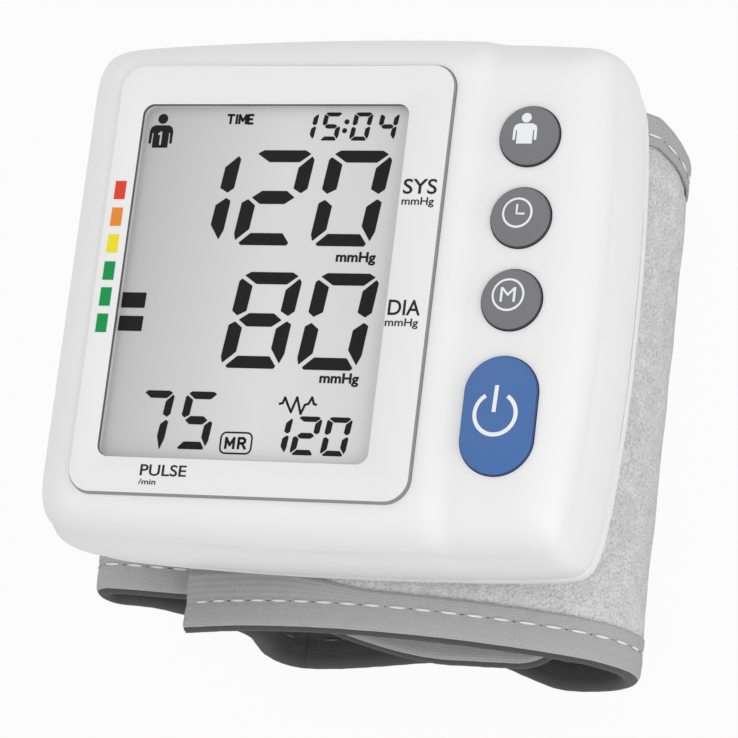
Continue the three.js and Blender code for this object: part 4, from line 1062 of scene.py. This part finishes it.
# The tail's two edges: distance along it, and place across
LOWER_MARKS = [
    (0.0, -43.33), (QUARTER_BULGE, -43.33), (BASE_EASE, -39.9), (TAIL_START, -42.1),
    (FOLD_PLACE, -36.6), (FOLD_PLACE + 3 * FOLD_RADIUS, -36.0), (FOLD_PLACE + 7 * FOLD_RADIUS, -36.4),
    (TONGUE_EASE, -43.8), (TAIL_END, -43.8),
]
UPPER_MARKS = [
    (0.0, 32.33), (0.4 * QUARTER_BULGE, 31.0), (BASE_EASE, 32.6), (FOLD_PLACE, 32.8),
    (TONGUE_EASE, 25.5), (TAIL_END, 25.5),
]


def follow(start, moves, distance):
    """Place and heading on a path of straight and turning stretches."""
    x, z, heading = start
    for length, turn in moves:
        step = clamp(distance, 0.0, length)
        swing = turn * step / length
        chord = 2 * length / turn * math.sin(swing / 2) if turn else step
        x += chord * math.cos(heading + swing / 2)
        z += chord * math.sin(heading + swing / 2)
        heading += swing
        distance -= step
    return x, z, heading


def between(marks, distance):
    for (first, low), (second, high) in zip(marks, marks[1:]):
        if distance <= second:
            return low + (high - low) * ease(distance, first, second)
    return marks[-1][1]


class CuffRun:
    """A stretch of the cuff: its path, its two edges and its thickness."""

    def __init__(self, start, moves, tail_offset, padded):
        self.start = start
        self.moves = moves
        self.length = sum(length for length, turn in moves)
        self.tail_offset = tail_offset
        self.padded = padded

    def edges(self, distance):
        x, z, heading = follow(self.start, self.moves, distance)
        along = distance + self.tail_offset
        if along < 0:
            rise = LIP_RISE * ease(distance, PAD_LENGTH - 12, PAD_LENGTH + 4)
            rise -= LIP_FALL * clamp((distance - LIP_TURN) / (CUT - LIP_TURN))
            return -CUFF_LOWER - CUFF_LOWER_SKEW * x, CUFF_UPPER - CUFF_UPPER_SKEW * x + rise
        short = max(0.0, TONGUE_ROUND - (TAIL_END - along))
        reach = min(short, TONGUE_ROUND * 0.98)
        inset = TONGUE_ROUND - math.sqrt(TONGUE_ROUND ** 2 - reach ** 2)
        return between(LOWER_MARKS, along) + inset, between(UPPER_MARKS, along) - inset

    def swell(self, distance):
        """How much deeper the padded middle is than the plain strap."""
        if not self.padded:
            return 0.0
        if distance <= PAD_LENGTH:
            share = math.sin(math.pi * distance / PAD_LENGTH)
            return PAD_END_DEPTH - STRAP + (PAD_DEPTH - PAD_END_DEPTH) * max(share, 0.0) ** 0.6
        return (PAD_END_DEPTH - STRAP) * (1 - ease(distance, PAD_LENGTH, PAD_LENGTH + 4))

    def opening(self, distance):
        """Closes the thickness towards a free end."""
        free = distance if self.padded else self.length - distance
        reach = clamp(free / 1.3)
        return math.sqrt(max(1 - (1 - reach) ** 2, 0.0))

    def place(self, distance, y, depth):
        x, z, heading = follow(self.start, self.moves, distance)
        calm = clamp((z - 3) / 8) * clamp((LOOP_HEIGHT - 1 - z) / 4)
        wave = 0.28 * noise.noise(Vector((distance / 11, y / 11, 3.1)))
        wave += 0.12 * noise.noise(Vector((distance / 4.5, y / 4.5, 9.7)))
        depth -= calm * wave
        height = max(z - depth * math.cos(heading), 0.0)
        return Vector((CASE_X + x + depth * math.sin(heading), CASE_Y + y, height))


WRAP = CuffRun(WRAP_START, WRAP_MOVES, -CUT, True)
TAIL = CuffRun(follow(WRAP_START, WRAP_MOVES, WRAP_LENGTH), TAIL_MOVES, TAIL_START, False)


def make_fabric(run, name, columns, rows):
    """A closed slab of cloth round the run: outer face, inner face and round lips."""
    bm = bmesh.new()
    bmesh.ops.create_grid(bm, x_segments=columns, y_segments=rows, size=0.5)
    # The inner face takes the dark lining, whose grey is partly painted shade.
    for face in bm.faces:
        face.material_index = 1 if face.calc_center_median().y > 0 else 0
    for vert in bm.verts:
        distance = (vert.co.x + 0.5) * run.length
        angle = (vert.co.y + 0.5) * 2 * math.pi
        low, high = run.edges(distance)
        low += TAPE_THICK
        high -= TAPE_THICK
        half = (high - low) / 2
        y = (low + high) / 2 - half * math.cos(angle)
        inward = half * (1 - abs(math.cos(angle)))
        lip = STRAP / 2 - TAPE_THICK
        round_lip = math.sqrt(1 - (1 - clamp(inward / lip)) ** 2)
        cover = ease(inward, BINDING_WIDTH - 1.0, BINDING_WIDTH)
        thick = (lip + TAPE_THICK * cover) * round_lip
        middle = STRAP / 2
        if math.sin(angle) >= 0:
            depth = middle - thick * run.opening(distance)
        else:
            swell = run.swell(distance) * ease(inward, 3.0, 7.0)
            depth = middle + (thick + swell) * run.opening(distance)
        vert.co = run.place(distance, y, depth)
    bmesh.ops.remove_doubles(bm, verts=bm.verts, dist=0.0005)
    bmesh.ops.dissolve_degenerate(bm, edges=bm.edges, dist=0.0005)
    ends = [edge for edge in bm.edges if edge.is_boundary]
    if ends:
        bmesh.ops.edgeloop_fill(bm, edges=ends)
    outward(bm)
    return finish_piece(name, bm, [CUFF_PILE, CUFF_LINING_SHADE], sharp=60)


STITCH_PITCH = 3.55
STITCH_LENGTH = 2.5
STITCH_INSET = 3.85
STITCH_BREADTH = 0.18
STITCH_HEIGHT = 0.13
NEEDLE_HOLE_SIZE = (0.34, 0.13, 0.06)
TAPE_HALF = STRAP / 2 * (math.pi / 2) + BINDING_WIDTH - STRAP / 2
STITCH_ACROSS = TAPE_HALF - BINDING_WIDTH + STITCH_INSET
UPPER_TAPE_SHARE = 0.75
WIDE_HEM = 1.6


def tape_spot(run, distance, side, across, lift):
    """A place on the binding: across runs from the outer hem round the lip to the inner hem."""
    low, high = run.edges(distance)
    lip = STRAP / 2
    quarter = lip * math.pi / 2
    if abs(across) <= quarter:
        angle = across / lip
        inward = lip - (lip + lift) * math.cos(angle)
        depth = lip + (lip + lift) * math.sin(angle)
    else:
        inward = lip + abs(across) - quarter
        depth = lip + math.copysign(lip + lift, across)
        if run.padded and side < 0:
            wide = WIDE_HEM * (1 - ease(distance, 16, 34))
            inward += wide * max(abs(across) - STITCH_ACROSS - 0.3, 0.0)
        elif run.padded:
            inward = lip + UPPER_TAPE_SHARE * (abs(across) - quarter)
    depth = lip + (depth - lip) * run.opening(distance)
    y = low + inward if side < 0 else high - inward
    return run.place(distance, y, depth)


def stitch_dip(distance, across):
    """The tape is pulled in along its sewn line."""
    off = (abs(across) - STITCH_ACROSS) / 0.55
    pull = 0.75 + 0.25 * math.cos(2 * math.pi * distance / STITCH_PITCH)
    return 0.2 * pull * math.exp(-off * off)


def make_binding(run, side, name, columns):
    bm = bmesh.new()
    bmesh.ops.create_grid(bm, x_segments=columns, y_segments=36, size=0.5)
    tape_map = bm.loops.layers.uv.new("tape")
    # The inner half of the tape takes the darker copy, a painted shade.
    for face in bm.faces:
        turned = -1.0 if side < 0 else 1.2
        face.material_index = 1 if face.calc_center_median().y * 2 * TAPE_HALF > turned else 0
        for loop in face.loops:
            along = (loop.vert.co.x + 0.5) * run.length
            loop[tape_map].uv = (along, loop.vert.co.y * 2 * TAPE_HALF)
    for vert in bm.verts:
        distance = (vert.co.x + 0.5) * run.length
        across = vert.co.y * 2 * TAPE_HALF
        pucker = 0.06 * noise.noise(Vector((distance / 1.6, across / 2.5, side * 5.0)))
        lift = TAPE_PROUD + pucker - stitch_dip(distance, across)
        vert.co = tape_spot(run, distance, side, across, lift)
    bm.normal_update()
    if side * sum(face.normal.y * face.calc_area() for face in bm.faces) < 0:
        bmesh.ops.reverse_faces(bm, faces=bm.faces)
    piece = finish_piece(name, bm, [BINDING_TAPE, BINDING_INSIDE_SHADE], sharp=70)
    thicken = piece.modifiers.new("tape", "SOLIDIFY")
    thicken.thickness = TAPE_THICK * MM
    thicken.offset = -1.0
    return piece


def make_stitches(run, side, name):
    """Rows of dashes on both faces of the tape, with needle holes between; the holes and the inner face's
    dashes are painted dark grey as painted shade.
    """
    bm = bmesh.new()
    count = int((run.length - 4) / STITCH_PITCH)
    for face_side in (-1, 1):
        across = face_side * STITCH_ACROSS
        for k in range(count):
            middle = 2.5 + (k + 0.5) * STITCH_PITCH
            first = tape_spot(run, middle - STITCH_LENGTH / 2, side, across, 0.08)
            last = tape_spot(run, middle + STITCH_LENGTH / 2, side, across, 0.08)
            above = tape_spot(run, middle, side, across, 1.0)
            centre = tape_spot(run, middle, side, across, 0.1)
            along = (last - first).normalized()
            up = (above - centre).normalized()
            beside = along.cross(up).normalized()
            turn = Matrix((along, beside, along.cross(beside))).transposed().to_4x4()
            size = Matrix.Diagonal(((last - first).length / 2, STITCH_BREADTH, STITCH_HEIGHT, 1.0))
            place = Matrix.Translation(centre) @ turn @ size
            dash = len(bm.faces)
            bmesh.ops.create_uvsphere(bm, u_segments=8, v_segments=5, radius=1.0, matrix=place)
            hole = tape_spot(run, middle + STITCH_PITCH / 2, side, across, 0.0)
            # Inner dashes and every needle hole take the painted shade.
            before = dash if face_side > 0 else len(bm.faces)
            pit = Matrix.Translation(hole) @ turn @ Matrix.Diagonal((*NEEDLE_HOLE_SIZE, 1.0))
            bmesh.ops.create_uvsphere(bm, u_segments=8, v_segments=4, radius=1.0, matrix=pit)
            bm.faces.ensure_lookup_table()
            for face in bm.faces[before:]:
                face.material_index = 1
    outward(bm)
    return finish_piece(name, bm, [THREAD, NEEDLE_HOLE_SHADE], sharp=80)


def bend_with_cuff(piece, slot, *nodes):
    if nodes:
        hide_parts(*nodes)
    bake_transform(piece)


def make_cuff():
    wrap = make_fabric(WRAP, "cuff_wrap", 300, 120)
    bend_with_cuff(wrap, "cuff_fabric", "cuff_shell", "cuff_lining")
    tail = make_fabric(TAIL, "cuff_tongue", 240, 110)
    mount(tail, "strap", "cuff_fabric", "cuff_tail")
    for side, label in ((-1, "lower"), (1, "upper")):
        tape = make_binding(WRAP, side, "wrap_binding_" + label, 300)
        bend_with_cuff(tape, "binding_tape", "binding_main_" + label)
        thread = make_stitches(WRAP, side, "wrap_stitches_" + label)
        bend_with_cuff(thread, "binding_tape")
        tape = make_binding(TAIL, side, "tongue_binding_" + label, 240)
        mount(tape, "strap", "binding_tape", "binding_tail_" + label)
        thread = make_stitches(TAIL, side, "tongue_stitches_" + label)
        mount(thread, "strap", "binding_tape")


def make_hook_patch():
    low, high = span("hook_patch")
    bm = bmesh.new()
    corners = block(bm, low, high)
    round_edges(bm, upright_edges(edges_of(corners)), 3.0, 6)
    rims = [edge for edge in bm.edges if abs(edge.verts[0].co.z - edge.verts[1].co.z) < 1e-5]
    round_edges(bm, rims, 0.25, 2)
    piece = finish_piece("hook_pad", bm, [HOOK_PILE])
    mount(piece, "strap", "hook_tape", "hook_patch")


# Stage

CAMERA_AXES = Matrix(((0.9379, 0.1165, -0.3268), (-0.0233, 0.961, 0.2757), (0.3462, -0.2509, 0.904)))
CAMERA_OFFSET = Vector((196.7, -141.466, 466.738))
FLOOR_GLOW = 0.95


def make_camera():
    lens = bpy.data.cameras.new("photo_camera")
    lens.sensor_width = 36.0
    lens.lens = 192.74
    holder = bpy.data.objects.new("photo_camera", lens)
    holder.rotation_mode = "QUATERNION"
    holder.rotation_quaternion = CAMERA_AXES.transposed().to_quaternion()
    middle = Vector((WINDOW_X, WINDOW_Y, panel_high.z))
    holder.location = (middle + CAMERA_OFFSET) * MM
    bpy.context.scene.collection.objects.link(holder)
    bpy.context.scene.camera = holder


def make_lamp(name, place, size, power):
    lamp = bpy.data.lights.new(name, "AREA")
    lamp.shape = "DISK"
    lamp.size = size
    lamp.energy = power
    holder = bpy.data.objects.new(name, lamp)
    holder.location = place
    aim = Vector((0, 0, 0.03)) - Vector(place)
    holder.rotation_mode = "QUATERNION"
    holder.rotation_quaternion = aim.to_track_quat("-Z", "Y")
    bpy.context.scene.collection.objects.link(holder)


def make_floor():
    """Pale floor that shows white to the camera and keeps the object's shadow."""
    bm = bmesh.new()
    bmesh.ops.create_grid(bm, x_segments=1, y_segments=1, size=3000.0)
    finish = bpy.data.materials.new("floor_white")
    finish.use_nodes = True
    tree = finish.node_tree
    shader = tree.nodes["Principled BSDF"]
    shader.inputs["Base Color"].default_value = grey(0.5)
    shader.inputs["Roughness"].default_value = 0.9
    glow = add_node(tree, "Emission", {"Color": grey(1.0), "Strength": 1.0})
    path = add_node(tree, "LightPath").outputs
    seen = maths(tree, "MAXIMUM", path["Is Camera Ray"], path["Is Glossy Ray"])
    seen = maths(tree, "MAXIMUM", seen, path["Is Transmission Ray"])
    share = maths(tree, "MULTIPLY", seen, FLOOR_GLOW)
    mix = add_node(tree, "MixShader", {0: share, 1: shader.outputs[0], 2: glow.outputs[0]})
    feed(tree, tree.nodes["Material Output"], {"Surface": mix.outputs[0]})
    floor = finish_piece("floor", bm, [finish])


def make_studio():
    world = bpy.data.worlds.new("studio")
    world.use_nodes = True
    sky = world.node_tree.nodes["Background"]
    sky.inputs["Color"].default_value = grey(1.0)
    sky.inputs["Strength"].default_value = 0.75
    bpy.context.scene.world = world
    make_lamp("key_lamp", (-0.4, 0.45, 0.8), 0.8, 1.1)
    make_lamp("fill_lamp", (0.82, -0.25, 0.38), 0.9, 3.2)
    make_lamp("front_lamp", (-0.25, -0.8, 0.6), 0.9, 1.0)
    bpy.context.scene.view_settings.view_transform = "Standard"


dress_solids()
make_camera()
make_floor()
make_studio()
make_casing_front()
make_battery_door()
make_back_rim()
make_display_panel()
make_lcd_figures()
make_panel_print()
for key in KEYS:
    make_key(key)
make_key_signs()
make_cuff()
make_hook_patch()
